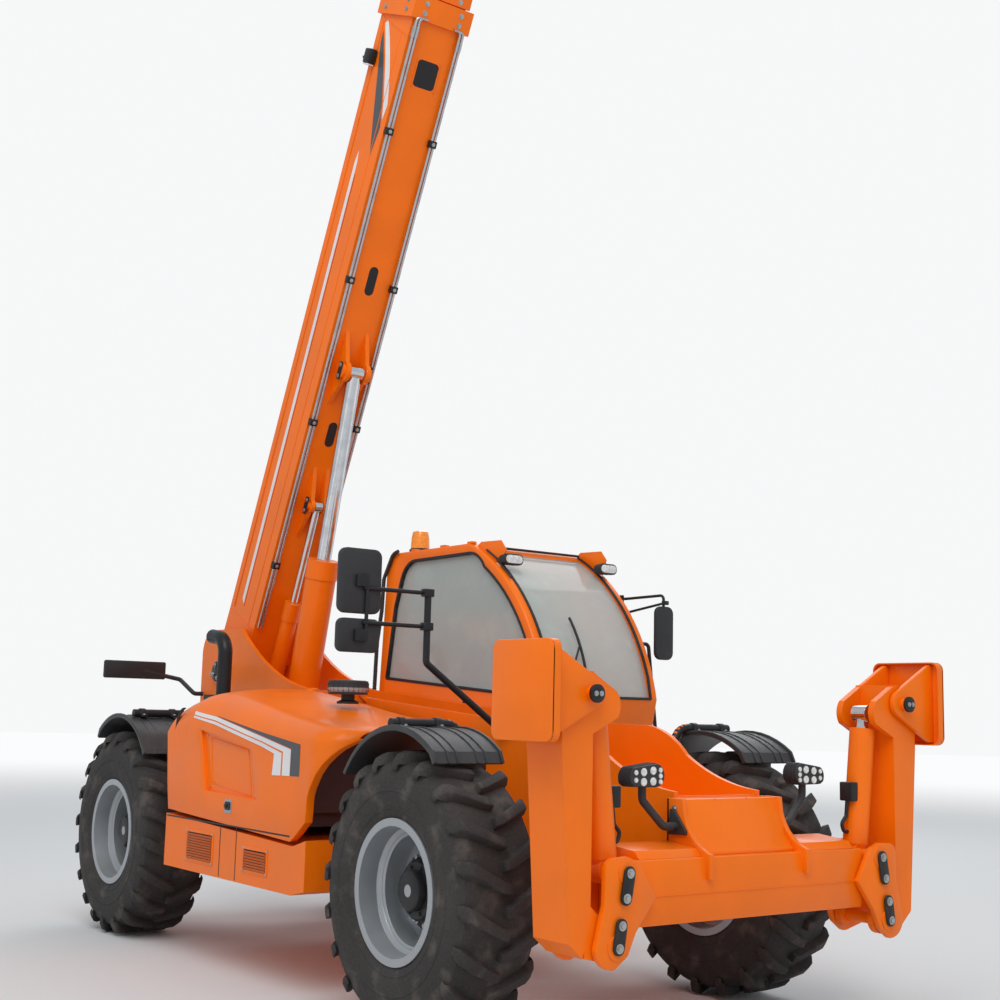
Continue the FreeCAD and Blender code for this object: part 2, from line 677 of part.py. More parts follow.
def make_knuckles_and_fenders():
    """Steering knuckles with their hub flanges, and the fenders that turn with them."""
    knuckle = Piece("knuckle")
    top = 140 - s.moving_gap
    knuckle.pad("YZ", rectangle(-king_pin_side - 95, -king_pin_side + 58, -top, top), -85, 85)
    knuckle.boss("XZ", (0, 0), 150, -wheel_side + s.hub_seat, -king_pin_side - 90)
    knuckle.bore("XY", (0, -king_pin_side), 30 + s.pin_clearance, -top, top)
    # Steering arm behind the king pin and the foot of the fender's bracket
    knuckle.pad("XY", [
        (-85, -king_pin_side + 20), (-85, -king_pin_side - 60),
        (-230, -king_pin_side - 30), (-230, -king_pin_side + 10)], -60, -25)
    knuckle.pad("XZ", [(-150, -60), (-85, -60), (-85, 60), (-125, 100), (-125, 240), (-150, 240)],
                -king_pin_side - 20, -king_pin_side + 20)
    rail_height = 734 + 24 + s.seat_gap
    rail = bent_tube([
        (-138, -king_pin_side, 225), (-138, -king_pin_side, rail_height),
        (-138, -wheel_side - 150, rail_height)], 24, 90)
    knuckle_body = joined(knuckle.body, rail)

    fender = Piece("fender")
    inner_edge, outer_edge = -wheel_side + 184, -wheel_side - 205
    fender.pad("XZ", [
        (-448, 505), (-432, 536), ("via", -95, 722), (275, 630), (305, 585), (315, 590), (292, 642),
        ("via", -95, 738), (-446, 542), (-462, 510)], outer_edge, inner_edge)
    images = {
        "front_right": ((knuckle_body, fender.body), 1),
        "front_left": ((mirrored(knuckle_body), mirrored(fender.body)), 1),
        "rear_right": ((mirrored(knuckle_body, (1, 0, 0)), mirrored(fender.body, (1, 0, 0))), -1),
        "rear_left": ((mirrored(mirrored(knuckle_body), (1, 0, 0)),
                       mirrored(mirrored(fender.body), (1, 0, 0))), -1),
    }
    for corner, ((steering, guard), end) in images.items():
        node(corner + "_knuckle", gathered(steering), station=end * front_axle, height=s.axle_height)
        node(corner + "_fender", gathered(guard), station=end * front_axle, height=s.axle_height)


def tyre():
    """A tyre with a rounded carcass and staggered lugs that run to the shoulders."""
    piece = Piece("tyre")
    half = s.tyre_width / 2
    carcass = s.tyre_radius
    bead = s.rim_radius - 12
    piece.turn("YZ", [
        (-half + 40, bead), (-half + 12, bead + 45), ("via", -half, bead + 130),
        (-half + 20, carcass - 35), (-half + 62, carcass), (half - 62, carcass),
        (half - 20, carcass - 35), ("via", half, bead + 130), (half - 12, bead + 45),
        (half - 40, bead), (half - 55, bead + 30), (-half + 55, bead + 30)])
    return piece.body


def rim():
    """A stepped rim with its disc and the planetary hub that it bolts to."""
    piece = Piece("rim")
    half = s.rim_width / 2
    wall = s.rim_wall
    seat = s.rim_radius - 25
    well = s.rim_well_radius
    piece.turn("YZ", [
        (-half, s.rim_radius), (-half, seat - wall), (-half + 95, seat - wall - 8),
        (-half + 120, well - wall), (half - 120, well - wall), (half - 95, seat - wall - 8),
        (half, seat - wall), (half, s.rim_radius), (half - wall, s.rim_radius),
        (half - wall, seat), (half - 90, seat - 8), (half - 112, well),
        (-half + 112, well), (-half + 90, seat - 8), (-half + wall, seat), (-half + wall, s.rim_radius)])
    disc = 30
    piece.turn("YZ", [
        (disc, 0), (disc, well - 4), (disc + wall, well - 4), (disc + wall, 100),
        (s.hub_seat - s.seat_gap, 100), (s.hub_seat - s.seat_gap, 0)])
    piece.turn("YZ", [
        (-s.hub_face - 45, 0), (-s.hub_face - 45, s.hub_cap_radius - 12), (-s.hub_face - 33, s.hub_cap_radius),
        (-s.hub_face, s.hub_cap_radius), (-s.hub_face, s.hub_radius - 15), (-s.hub_face + 15, s.hub_radius),
        (0, s.hub_radius), (0, s.hub_radius + 45), (disc, s.hub_radius + 45), (disc, 0)])
    return piece.body


def make_wheels():
    """Four equal wheels: every tyre rolls the same way, and the rims face outwards."""
    rubber = tyre()
    right_rim = rim()
    left_rim = mirrored(right_rim)
    for corner, end, side in (("front_right", 1, -1), ("front_left", 1, 1),
                              ("rear_right", -1, -1), ("rear_left", -1, 1)):
        place = dict(station=end * front_axle, side=side * wheel_side, height=s.axle_height)
        node(corner + "_tyre", gathered(rubber), **place)
        node(corner + "_rim", gathered(right_rim if side < 0 else left_rim), **place)


def make_engine():
    """The engine as one plain block on a shelf beside the chassis."""
    piece = Piece("engine")
    piece.pad("XZ", rectangle(-560, 480, 900, 1300), -980, -470)
    piece.pad("XZ", rectangle(-500, 420, s.box_high + 10, 900), -900, -plate_outer)
    return node("engine", piece.body)


def make_side_boxes():
    """The grille box under the hood and the tank with steps under the cab."""
    piece = Piece("side_boxes")
    wall = s.hood_wall

    def right_box(inset):
        return [
            (s.hood_rear + inset, s.box_low + inset), (s.box_front, s.box_low + inset),
            (s.box_end - inset, s.box_low + 30 + inset), (s.box_end - inset, s.box_high - 20 - inset),
            (s.box_front, s.box_high - 60 - inset), (s.hood_rear + inset, s.box_high - inset)]

    def left_tank(inset):
        return [
            (s.hood_rear + inset, s.box_low + inset), (s.box_front, s.box_low + inset),
            (s.box_end - inset, s.box_low + 60 + inset), (s.box_end - inset, s.cab_floor - 30 - inset),
            (s.hood_rear + inset, s.cab_floor - 30 - inset)]

    piece.pad("XZ", right_box(Size.of(0)), -s.hood_side, -plate_outer)
    piece.pocket("XZ", right_box(wall), -s.hood_side + wall, -plate_outer - wall)
    piece.pad("XZ", left_tank(Size.of(0)), plate_outer, s.cab_outer_side - 20)
    piece.pocket("XZ", left_tank(wall), plate_outer + wall, s.cab_outer_side - 220)
    # Rubber mounts that carry the cab
    for station in (-700, 650):
        for across in (s.cab_inner_side + 90, s.cab_outer_side - 120):
            piece.boss("XY", (station, across), 50, s.cab_floor - 30, s.cab_floor - s.seat_gap)
    # Two steps let into the tank below the door
    for low in (s.box_low + 60, s.box_low + 230):
        piece.pocket("XZ", rectangle(-250, 250, low, low + 130), s.cab_outer_side - 200, s.cab_outer_side)
    return node("side_boxes", piece.body)


def hood_form(inset):
    """The hood's outer form, or the hollow inside it, as a side view crossed with a front view."""
    side_view = Piece("hood_side_view")
    low = s.hood_bottom if inset is None else s.hood_bottom - 50
    wall = 0 if inset is None else inset
    side_view.pad("XZ", [
        (s.hood_rear + wall, low),
        (s.hood_rear - 55 + wall, 1260),
        (s.hood_rear - 30 + wall, 1440 - wall),
        ("via", s.hood_rear + 45 + wall, 1520 - wall),
        (s.hood_rear + 190, s.hood_top_rear - wall),
        (120, s.hood_top_rear - 62 - wall),
        (s.hood_front - wall, s.hood_top_front - wall),
        (s.hood_front - wall, low)], -s.hood_side - 100, 0)
    front_view = Piece("hood_front_view")
    edge = -s.hood_inner if inset is None else -s.hood_inner + 50
    front_view.pad("YZ", [
        (-s.hood_side + wall, low - 1),
        (-s.hood_side + wall, 1330 - wall),
        ("via", -s.hood_side + 55 + wall, 1455 - wall),
        (-s.hood_side + 210, s.hood_top_rear - 45 - wall),
        ("via", -700, s.hood_top_rear + 5 - wall),
        (edge, s.hood_top_rear - 10 - wall),
        (edge, low - 1)], s.hood_rear - 200, s.hood_front + 200)
    return shared(side_view.body, front_view.body)


def make_hood():
    """The engine hood: a crowned shell, open below and cut away round the front wheel."""
    shell = without(hood_form(None), hood_form(s.hood_wall))
    arch = Piece("hood_arch")
    arch.pad("XZ", [
        (s.box_front - 15, s.hood_bottom - 60),
        (s.box_front + 115, s.hood_bottom + 35),
        (s.box_front + 125, s.hood_bottom + 180),
        ("via", s.box_front + 200, s.hood_bottom + 330),
        (s.hood_front + 30, s.hood_bottom + 420),
        (s.hood_front + 30, s.hood_bottom - 60)], -s.hood_side - 150, 0)
    hinge = Piece("hood_hinge")
    side, height = s.hood_hinge_side, s.hood_hinge_height
    for station in HOOD_HINGES:
        # Notches for the pin's end and for the lug beside each hinge eye
        for low, high in ((station - 12, station),
                          (station + s.hood_eye_length, station + s.hood_eye_length + s.moving_gap * 2 + 20)):
            arch.pad("YZ", rectangle(-side - 24, -side + 10, height - 80, height + 20), low, high)
        arch.boss("YZ", (-side, height), s.hood_pin_radius + s.pin_clearance, station - 12, station + 60)
        hinge.pad("YZ", [
            (-side - 50, height - 65), (-side - 8, height - 65), (-side + 16, height),
            ("via", -side, height + 16), (-side - 16, height)], station, station + s.hood_eye_length)
        hinge.bore("YZ", (-side, height), s.hood_pin_radius + s.pin_clearance, station, station + s.hood_eye_length)
    return node("hood", joined(without(shell, arch.body), hinge.body))


def make_pre_cleaner():
    """The air pre-cleaner bowl on its neck, seated on the hood."""
    piece = Piece("pre_cleaner")
    fall = (s.hood_top_rear - 62 - s.hood_top_front) / (s.hood_front - 120)
    foot = s.hood_top_rear - 62 - (330 - 62 - 120) * fall + s.seat_gap
    piece.turn("XZ", [
        (0, foot), (62, foot), (62, foot + 12), (38, foot + 22), (38, foot + 70), (108, foot + 78),
        (116, foot + 92), (112, foot + 128), (0, foot + 136)], origin=(330, 0), level=-640, axis="V_Axis")
    return node("pre_cleaner", piece.body)


def make_exhaust():
    """The upright tail pipe behind the hood, bent to the rear."""
    pipe = bent_tube([
        (-1433, -560, 1450), (-1433, -560, 1900), (-1640, -560, 1925)], 48, 110, 42)
    clamp = Piece("exhaust_box")
    clamp.pad("XZ", rectangle(-1560, -1300, 1450, 1530), -640, -plate_outer)
    return node("exhaust", gathered(pipe, clamp.body))


def cab_form(inset, low_extra=0):
    """The cab's outer form, or the room inside it."""
    piece = Piece("cab_form")
    wall = Size.of(inset)
    piece.pad("XZ", [
        (s.cab_rear + wall, s.cab_floor + wall),
        (s.cab_rear + wall, s.cab_roof - 30 - wall),
        ("via", s.cab_rear + 15 + wall, s.cab_roof - 6 - wall),
        (s.cab_rear + 45 + wall, s.cab_roof - wall),
        (150, s.cab_roof - wall),
        ("via", 700 - 0.8 * wall, 2085 - 0.7 * wall),
        (s.cab_front + 40 - wall, 1560),
        (s.cab_front - wall, s.cab_sill - 120),
        (s.cab_front - 40 - wall, s.cab_floor + wall)],
        s.cab_inner_side + wall, s.cab_outer_side - wall)
    return piece.body


def side_window(inset, gap=0):
    """Outline of the side windows in the XZ plane."""
    edge = Size.of(inset)
    return [
        (s.cab_rear + 75 + edge, 1600 + edge),
        (s.cab_rear + 75 + edge, 2440 - edge),
        (120 - edge, 2440 - edge),
        ("via", 420 - edge, 2080 - edge),
        (660 - edge, 1590 + edge)]


def door_outline(gap):
    """Outline of the door in the XZ plane."""
    return [
        (-600 + gap, s.cab_floor + 60 + gap),
        (-600 + gap, 2455 - gap),
        (110 - gap, 2455 - gap),
        ("via", 560 - gap, 2075 - gap),
        (s.cab_front - 90 - gap, 1560),
        (s.cab_front - 130 - gap, s.cab_floor + 60 + gap)]


def make_cab():
    """The cab: a hollow shell with window openings, panes, a door, a seat and controls."""
    shell = without(cab_form(0), cab_form(s.cab_wall))
    openings = Piece("cab_openings")
    openings.pad("XZ", side_window(0), s.cab_inner_side - 50, s.cab_inner_side + s.cab_wall + 20)
    openings.pad("XZ", door_outline(0), s.cab_outer_side - s.cab_wall - 20, s.cab_outer_side + 50)
    across = (s.cab_inner_side + s.pillar_width, s.cab_outer_side - s.pillar_width)
    openings.pad("XY", [
        (430, across[0]), (1100, across[0]), (1100, across[1]), (430, across[1])], s.cab_sill + 60, 2330)
    openings.pad("XY", rectangle(s.cab_rear - 50, s.cab_rear + 60, *across), 1650, 2400)
    openings.pad("XY", rectangle(-600, 60, *across), s.cab_roof - 120, s.cab_roof + 50)
    hinges = Piece("door_hinges")
    hinge_station, hinge_side = -615, s.cab_outer_side + 22
    for height in (1180, 2250):
        for low in (height - 58, height + 40):
            hinges.pad("XY", rectangle(-690, hinge_station + 14, s.cab_outer_side, hinge_side + 14), low, low + 18)
        hinges.boss("XY", (hinge_station, hinge_side), 9, height - 58, height + 58)
    node("cab_shell", joined(without(shell, openings.body), hinges.body))

    mid = (s.cab_wall - s.glass_thickness) / 2
    sheet_form = without(cab_form(mid), cab_form(mid + s.glass_thickness))
    panes = Piece("cab_panes")
    panes.pad("XZ", side_window(0), s.cab_inner_side - 50, s.cab_inner_side + s.cab_wall + 20)
    panes.pad("XY", [
        (430, across[0]), (1100, across[0]), (1100, across[1]), (430, across[1])], s.cab_sill + 60, 2330)
    panes.pad("XY", rectangle(s.cab_rear - 50, s.cab_rear + 60, *across), 1650, 2400)
    panes.pad("XY", rectangle(-600, 60, *across), s.cab_roof - 120, s.cab_roof + 50)
    node("cab_glass", shared(sheet_form, panes.body))

    door = Piece("cab_door")
    inner, outer = s.cab_outer_side - s.cab_wall, s.cab_outer_side
    door.pad("XZ", door_outline(s.door_gap), inner, outer)
    window = [
        (-600 + s.pillar_width, 1280), (-600 + s.pillar_width, 2455 - s.pillar_width),
        (90, 2455 - s.pillar_width), ("via", 500, 2020), (s.cab_front - 190, 1540),
        (s.cab_front - 210, 1280)]
    door.pocket("XZ", window, inner, outer)
    for height in (1180, 2250):
        door.pad("XY", rectangle(hinge_station, -470, outer, outer + 12), height - 38, height + 38)
        door.boss("XY", (hinge_station, hinge_side), 19, height - 38, height + 38)
        door.bore("XY", (hinge_station, hinge_side), 9 + s.pin_clearance, height - 38, height + 38)
    node("cab_door", door.body)
    pane = Piece("door_glass")
    pane.pad("XZ", window, inner + mid, inner + mid + s.glass_thickness)
    node("door_glass", pane.body)

    inside = Piece("cab_furniture")
    floor = s.cab_floor + s.cab_wall
    middle = (s.cab_inner_side + s.cab_outer_side) / 2
    inside.pad("XZ", rectangle(-560, -60, floor, floor + 260), middle - 210, middle + 210)
    inside.pad("XZ", [
        (-580, floor + 260), (-20, floor + 260), (0, floor + 380), (-480, floor + 390),
        (-560, floor + 950), (-680, floor + 940)], middle - 240, middle + 240)
    inside.pad("XZ", [
        (-690, floor + 965), (-590, floor + 965), (-600, floor + 1120), (-690, floor + 1120)],
        middle - 120, middle + 120)
    for across in (middle - 60, middle + 60):
        inside.boss("XY", (-630, across), 8, floor + 900, floor + 980)
    inside.pad("XZ", [
        (500, floor), (720, floor), (720, floor + 520), (560, floor + 560), (500, floor + 480)],
        middle - 300, middle + 300)
    column = bent_tube([(560, middle, floor + 440), (420, middle, floor + 640), (400, middle, floor + 668)], 28, 5)
    wheel = document.addObject("Part::Torus", "SteeringWheel")
    wheel.Radius1 = 190
    wheel.Radius2 = 15
    wheel.Placement = Placement(Vector(400, middle.value, floor.value + 668), Rotation(Vector(0, 1, 0), -35))
    spokes = document.addObject("Part::Box", "Spokes")
    spokes.Length = 40
    spokes.Width = 380
    spokes.Height = 16
    spokes.Placement = Placement(Vector(400, middle.value, floor.value + 668), Rotation(Vector(0, 1, 0), -35)).multiply(
        Placement(Vector(-20, -190, -8), Rotation()))
    node("cab_interior", gathered(inside.body, joined(column, wheel, spokes)))


def boom_section(label, index, tail, front, extra=None):
    """A hollow boom section, the first outside and each next one inside the last."""
    piece = Piece(label)
    shrink = index * (s.boom_wall + s.section_gap)
    half_width = boom_side - shrink
    half_depth = boom_half - shrink
    piece.pad("YZ", rectangle(-half_width, half_width, -half_depth, half_depth), tail, front)
    piece.pocket("YZ", rectangle(
        -half_width + s.boom_wall, half_width - s.boom_wall,
        -half_depth + s.boom_wall, half_depth - s.boom_wall), tail, front)
    # Wear pads: on the tail's outside where it slides, and inside the front end for the next section
    thick = s.section_gap - s.seat_gap
    if index > 0:
        wear_pads(piece, half_width, half_depth, thick, tail + 30, tail + 180)
    if index < 3:
        wear_pads(piece, half_width - s.boom_wall - thick, half_depth - s.boom_wall - thick, thick,
                  front - 170, front - 20)
    return piece, half_width, half_depth


def wear_pads(piece, half_width, half_depth, thick, start, end):
    """Add four slide pads round a rectangle, each standing out from it by its thickness."""
    for low, high in ((-half_width - thick, -half_width), (half_width, half_width + thick)):
        piece.pad("YZ", rectangle(low, high, -half_depth + 60, half_depth - 60), start, end)
    for low, high in ((-half_depth - thick, -half_depth), (half_depth, half_depth + thick)):
        piece.pad("YZ", rectangle(-half_width + 60, half_width - 60, low, high), start, end)


def collar(piece, half_width, half_depth, front, length):
    """Add the thicker collar round a section's front end."""
    rise = s.collar_height
    wall = s.boom_wall
    start = front - length
    for low, high in ((-half_width - rise, -half_width), (half_width, half_width + rise)):
        piece.pad("YZ", rectangle(low, high, -half_depth - rise, half_depth + rise), start, front)
    for low, high in ((-half_depth - rise, -half_depth), (half_depth, half_depth + rise)):
        piece.pad("YZ", rectangle(-half_width, half_width, low, high), start, front)


def make_boom():
    """Four nested sections. The first has the heel and the brackets, the last has the head."""
    place = dict(station=s.pivot_station, height=s.pivot_height, pitch=s.boom_angle)
    base, half_width, half_depth = boom_section("boom_base", 0, s.boom_tube_start, s.boom_base_end)
    collar(base, half_width, half_depth, s.boom_base_end, s.collar_length)
    heel = [
        (420, boom_half), (-120, boom_half + 15), ("via", -250, 150), (-s.heel_reach, 0),
        ("via", -230, -160), (-60, -boom_half - 10), (420, -boom_half)]
    for low, high in ((-boom_side, -boom_side + 45), (boom_side - 45, boom_side)):
        base.pad("XZ", heel, low, high)
    base.boss("XZ", (0, 0), s.pivot_pin_radius + 35, -s.plate_inner + s.moving_gap, s.plate_inner - s.moving_gap)
    base.bore("XZ", (0, 0), s.pivot_pin_radius + s.pin_clearance, -s.plate_inner, s.plate_inner)
    for along, below, half, size in (
            (s.lift_eye_along, s.lift_eye_below, 62, 70), (s.slave_eye_along, s.slave_eye_below, 36, 46)):
        for side in (-1, 1):
            near, far = (half, half + 30) if side > 0 else (-half - 30, -half)
            base.pad("XZ", [
                (along - 260, -boom_half), (along + 260, -boom_half), (along + size, -below - 10),
                ("via", along, -below - size), (along - size, -below - 10)], near, far)
            low, high = (far, far + 20) if side > 0 else (near - 20, near)
            base.boss("XZ", (along, -below), size - 22, low, high)
    node("boom_base", base.body, **place)

    for index in (1, 2):
        front = s.boom_base_end + index * s.section_step
        piece, half_width, half_depth = boom_section("boom_section", index, s.section_tail, front)
        collar(piece, half_width, half_depth, front, s.section_step - s.moving_gap - 4)
        node("boom_section_%d" % (index + 1), piece.body, **place)

    tip, half_width, half_depth = boom_section(
        "boom_tip", 3, s.section_tail, s.boom_base_end + 3 * s.section_step)
    gap = s.head_cheek_gap / 2
    start = s.boom_base_end + 2 * s.section_step + 40
    for low, high in ((-gap - s.head_cheek, -gap), (gap, gap + s.head_cheek)):
        tip.pad("XZ", [
            (start, half_depth), (s.head_station - 420, half_depth), (s.head_station - 60, half_depth - 90),
            (s.head_station + 75, -s.head_drop + 110), ("via", s.head_station + 90, -s.head_drop),
            (s.head_station, -s.head_drop - 80), ("via", s.head_station - 75, -s.head_drop - 40),
            (s.head_station - 110, -s.head_drop + 60), (s.head_station - 330, -half_depth),
            (start, -half_depth)], low, high)
    tip.pad("XZ", rectangle(start, s.head_station - 430, half_depth - 12, half_depth), -half_width, half_width)
    tip.pad("XZ", rectangle(start, start + 300, -half_depth, -half_depth + 12), -half_width, half_width)
    tip.boss("XZ", (s.head_station, -s.head_drop), 35, -gap - s.head_cheek - 20, gap + s.head_cheek + 20)
    node("boom_section_4", tip.body, **place)


def make_boom_pipes():
    """Steel pipes clipped under both lower edges of the boom."""
    pipes = []
    for side in (-1, 1):
        for offset in (158, 182):
            pipe = document.addObject("Part::Cylinder", "Pipe")
            pipe.Radius = 9
            bind(pipe, "Height", s.boom_base_end - 700)
            pipe.Placement = Placement(Vector(), Rotation(Vector(0, 1, 0), 90))
            bind(pipe, "Placement.Base.x", 450)
            bind(pipe, "Placement.Base.y", side * offset)
            bind(pipe, "Placement.Base.z", -boom_half - 24)
            pipes.append(pipe)
    clips = Piece("pipe_clips")
    for side in (-1, 1):
        low, high = (146, 194) if side > 0 else (-194, -146)
        for along in (900, 1950, 2950, 3950):
            clips.pad("XZ", rectangle(along, along + 40, -boom_half - 36, -boom_half), low, high)
    return node("boom_pipes", joined(clips.body, *pipes), station=s.pivot_station, height=s.pivot_height,
                pitch=s.boom_angle)


def make_fork_carriage():
    """The fork carriage on the boom's head pin, with two forks hung on it."""
    piece = Piece("fork_carriage")
    gap = s.head_cheek_gap / 2 - s.moving_gap
    back = 170
    low = -330
    high = low + s.carriage_height
    # Hook plates that swing between the head's cheeks
    piece.pad("XZ", [
        (-60, -25), ("via", -45, 55), (20, 62), (back, 150), (back + 20, 150), (back + 20, -270),
        (back, -270), (60, -150)], -gap, gap)
    piece.bore("XZ", (0, 0), 35 + s.pin_clearance, -gap, gap)
    half = s.carriage_width / 2
    for bottom in (low, high - 90):
        piece.pad("XZ", rectangle(back, back + 45, bottom, bottom + 90), -half, half)
    for across in (-half, -230, 170, half - 60):
        piece.pad("XZ", rectangle(back, back + 45, low, high), across, across + 60)
    for side in (-1, 1):
        middle = side * s.fork_spread / 2
        edge = s.fork_width / 2
        piece.pad("XZ", [
            (back + 45, low - 60), (back + 45, high - 5), (back + 95, high - 5),
            (back + 95, low - 60 + s.fork_thickness), (back + 95 + s.fork_length, low - 48),
            (back + 95 + s.fork_length, low - 60)], middle - edge, middle + edge)
    station, height = on_boom(s.head_station, s.head_drop)
    return node("fork_carriage", piece.body, station=station, height=height)


def cylinder_pair(prefix, base, eye, barrel_radius, rod_radius, barrel_length, half, base_pin, ear, eye_size,
                  retraction):
    """A barrel and its rod on one line between two pins, the barrel's neck between ears of radius ear."""
    run, rise = eye[0] - base[0], eye[1] - base[1]
    span = distance(rise, run)
    angle = slope(rise, run)
    barrel = Piece(prefix + "_barrel")
    neck = Size.of(ear) + 10
    barrel.turn("XY", [
        (0, 0), (0, half - 2), (neck, half - 2), (neck + 35, barrel_radius), (barrel_length - 130, barrel_radius),
        (barrel_length - 130, barrel_radius + 6), (barrel_length, barrel_radius + 6),
        (barrel_length, rod_radius + 0.5), (barrel_length - 90, rod_radius + 0.5),
        (barrel_length - 90, rod_radius + 6), (neck + 30, rod_radius + 6), (neck + 30, 0)])
    barrel.boss("XZ", (0, 0), base_pin + 24, -half, half)
    barrel.bore("XZ", (0, 0), base_pin + s.pin_clearance, -half, half)
    node(prefix + "_barrel", barrel.body, station=base[0], height=base[1], pitch=angle)
    rod = Piece(prefix + "_rod")
    tail = neck + 40 + retraction
    rod.turn("XY", [(tail, 0), (tail, rod_radius), (span - eye_size + 15, rod_radius), (span - eye_size + 15, 0)])
    rod.boss("XZ", (span, 0), eye_size, -half + 2, half - 2)
    rod.bore("XZ", (span, 0), eye_size * 0.55, -half, half)
    node(prefix + "_rod", rod.body, station=base[0], height=base[1], pitch=angle)


def make_boom_cylinders():
    """The lift cylinder and the levelling cylinder under the boom."""
    cylinder_pair("lift", (s.lift_base_station, s.lift_base_height), on_boom(s.lift_eye_along, s.lift_eye_below),
                  s.lift_barrel_radius, s.lift_rod_radius, s.lift_barrel_length, 56, 40, 90, 47, s.lift_retraction)
    cylinder_pair("slave", (s.slave_base_station, s.slave_base_height), on_boom(s.slave_eye_along, s.slave_eye_below),
                  s.slave_barrel_radius, s.slave_rod_radius, s.slave_barrel_length, 29, 28, 55, 36, s.slave_retraction)


def make_stabilisers():
    """Stowed stabiliser legs, their cylinders and foot pads, right side first and then its mirror."""
    front = s.beam_front - 8
    rear = s.beam_rear + 8
    middle = (s.beam_front + s.beam_rear) / 2
    outer = s.leg_inner_side + s.leg_width
    leg = Piece("leg")
    leg.pad("YZ", [
        (-s.leg_inner_side, 620), (-s.leg_inner_side, s.leg_top), (-outer + 10, s.leg_top),
        (-outer, 1340), (-outer + 55, 560), (-s.leg_inner_side - 40, 500)], rear, front)
    leg.pocket("YZ", [
        (-s.leg_inner_side - 12, 700), (-s.leg_inner_side - 12, s.leg_top), (-outer + 22, s.leg_top),
        (-outer + 12, 1340), (-outer + 62, 700)], rear + 12, front - 12)
    lug = [
        (-s.leg_inner_side - 30, 500), (-s.leg_pin_side, s.leg_pin_height - 68),
        ("via", -s.leg_pin_side + 68, s.leg_pin_height), (-s.leg_pin_side, s.leg_pin_height + 68),
        (-s.leg_inner_side, 700), (-s.leg_inner_side - 30, 700)]
    head = [
        (-s.leg_inner_side - 10, 1380), (-s.jack_eye_side + 45, 1450),
        ("via", -s.jack_eye_side + 62, s.jack_eye_height), (-s.jack_eye_side + 40, 1560),
        (-s.leg_inner_side - 10, s.leg_top)]
    for low, high in ((front - 34, front), (rear, rear + 34)):
        leg.pad("YZ", lug, low, high)
        leg.pad("YZ", head, low, high)
    leg.bore("YZ", (-s.leg_pin_side, s.leg_pin_height), s.leg_pin_radius + s.pin_clearance, rear, front)
    leg.boss("YZ", (-s.pad_pin_side, s.pad_pin_height), 30, rear - 60, front + 60)

    pad = Piece("pad")
    face = s.pad_face_side
    low, high = s.pad_pin_height - 0.48 * s.pad_height, s.pad_pin_height + 0.52 * s.pad_height
    pad.pad("YZ", rectangle(-face, -face + 20, low, high), middle - s.pad_length / 2, middle + s.pad_length / 2)
    for near, far in ((rear - 32, rear - 6), (front + 6, front + 32)):
        pad.pad("YZ", [
            (-face + 20, low + 30), (-s.pad_pin_side + 55, s.pad_pin_height - 45),
            ("via", -s.pad_pin_side + 75, s.pad_pin_height), (-s.pad_pin_side + 40, s.pad_pin_height + 60),
            (-face + 20, high - 30)], near, far)
    pad.bore("YZ", (-s.pad_pin_side, s.pad_pin_height), 30 + s.pin_clearance, rear - 60, front + 60)

    run = s.jack_eye_side - s.jack_pin_side
    rise = s.jack_eye_height - s.jack_pin_height
    span = distance(rise, run)
    tilt = 90 - slope(rise, run)
    half = 42
    barrel = Piece("jack_barrel")
    barrel.turn("YZ", [
        (s.jack_rod_radius + 4, 60), (s.jack_radius, 60), (s.jack_radius, span - 75),
        (s.jack_rod_radius + 0.5, span - 75), (s.jack_rod_radius + 0.5, span - 140),
        (s.jack_rod_radius + 4, span - 140)], axis="V_Axis", level=0)
    barrel.turn("YZ", [(0, 0), (half, 0), (s.jack_radius, 50), (s.jack_radius, 80), (0, 80)], axis="V_Axis")
    barrel.boss("YZ", (0, 0), s.leg_pin_radius + 26, -half, half)
    barrel.bore("YZ", (0, 0), s.leg_pin_radius + s.pin_clearance, -s.jack_radius - 5, s.jack_radius + 5)
    rod = Piece("jack_rod")
    rod.turn("YZ", [(0, 110), (s.jack_rod_radius, 110), (s.jack_rod_radius, span - 25), (0, span - 25)],
             axis="V_Axis")
    rod.boss("YZ", (0, span), 42, -half, half)
    rod.bore("YZ", (0, span), 22, -half, half)
    for body in (barrel.body, rod.body):
        body.Placement = Placement(Vector(middle.value, -s.jack_pin_side.value, s.jack_pin_height.value),
                                   Rotation(Vector(1, 0, 0), tilt.value))
    for name, item in (("leg", leg.body), ("pad", pad.body), ("jack_barrel", barrel.body), ("jack_rod", rod.body)):
        node("right_" + name, gathered(item))
        node("left_" + name, gathered(mirrored(item)))


def make_lamps():
    """Head lamps on their arms, roof lamps and the beacon, and the rear lamp board."""
    items = []
    lamp = Piece("head_lamp")
    lamp.pad("YZ", rectangle(-580, -455, 1165, 1260), 2610, 2690)
    arm = bent_tube([(2650, -plate_outer, 1010), (2650, -440, 1010), (2650, -517, 1166)], 18, 40)
    bracket = joined(lamp.body, arm)
    items += [bracket, mirrored(bracket)]
    roof = Piece("roof_lamps")
    for across in (384, 1140):
        roof.pad("YZ", rectangle(across - 70, across + 70, 2350, 2410), 427, 500)
    beacon = Piece("beacon")
    beacon.turn("XZ", [(0, s.cab_roof), (72, s.cab_roof), (72, s.cab_roof + 30), (62, s.cab_roof + 36),
                       (58, s.cab_roof + 150), (0, s.cab_roof + 156)], origin=(-640, 0), level=450, axis="V_Axis")
    board = Piece("lamp_board")
    board.pad("YZ", rectangle(-1000, -540, 1635, 1760), -2462, -2436)
    foot = -plate_outer - s.seat_gap
    board_arm = bent_tube([(-2450, -700, 1690), (-2450, -420, 1640), (-2370, -340, 1540), (-2370, foot, 1540)], 16, 30)
    items += [roof.body, beacon.body, joined(board.body, board_arm)]
    return node("lamps", gathered(*items))


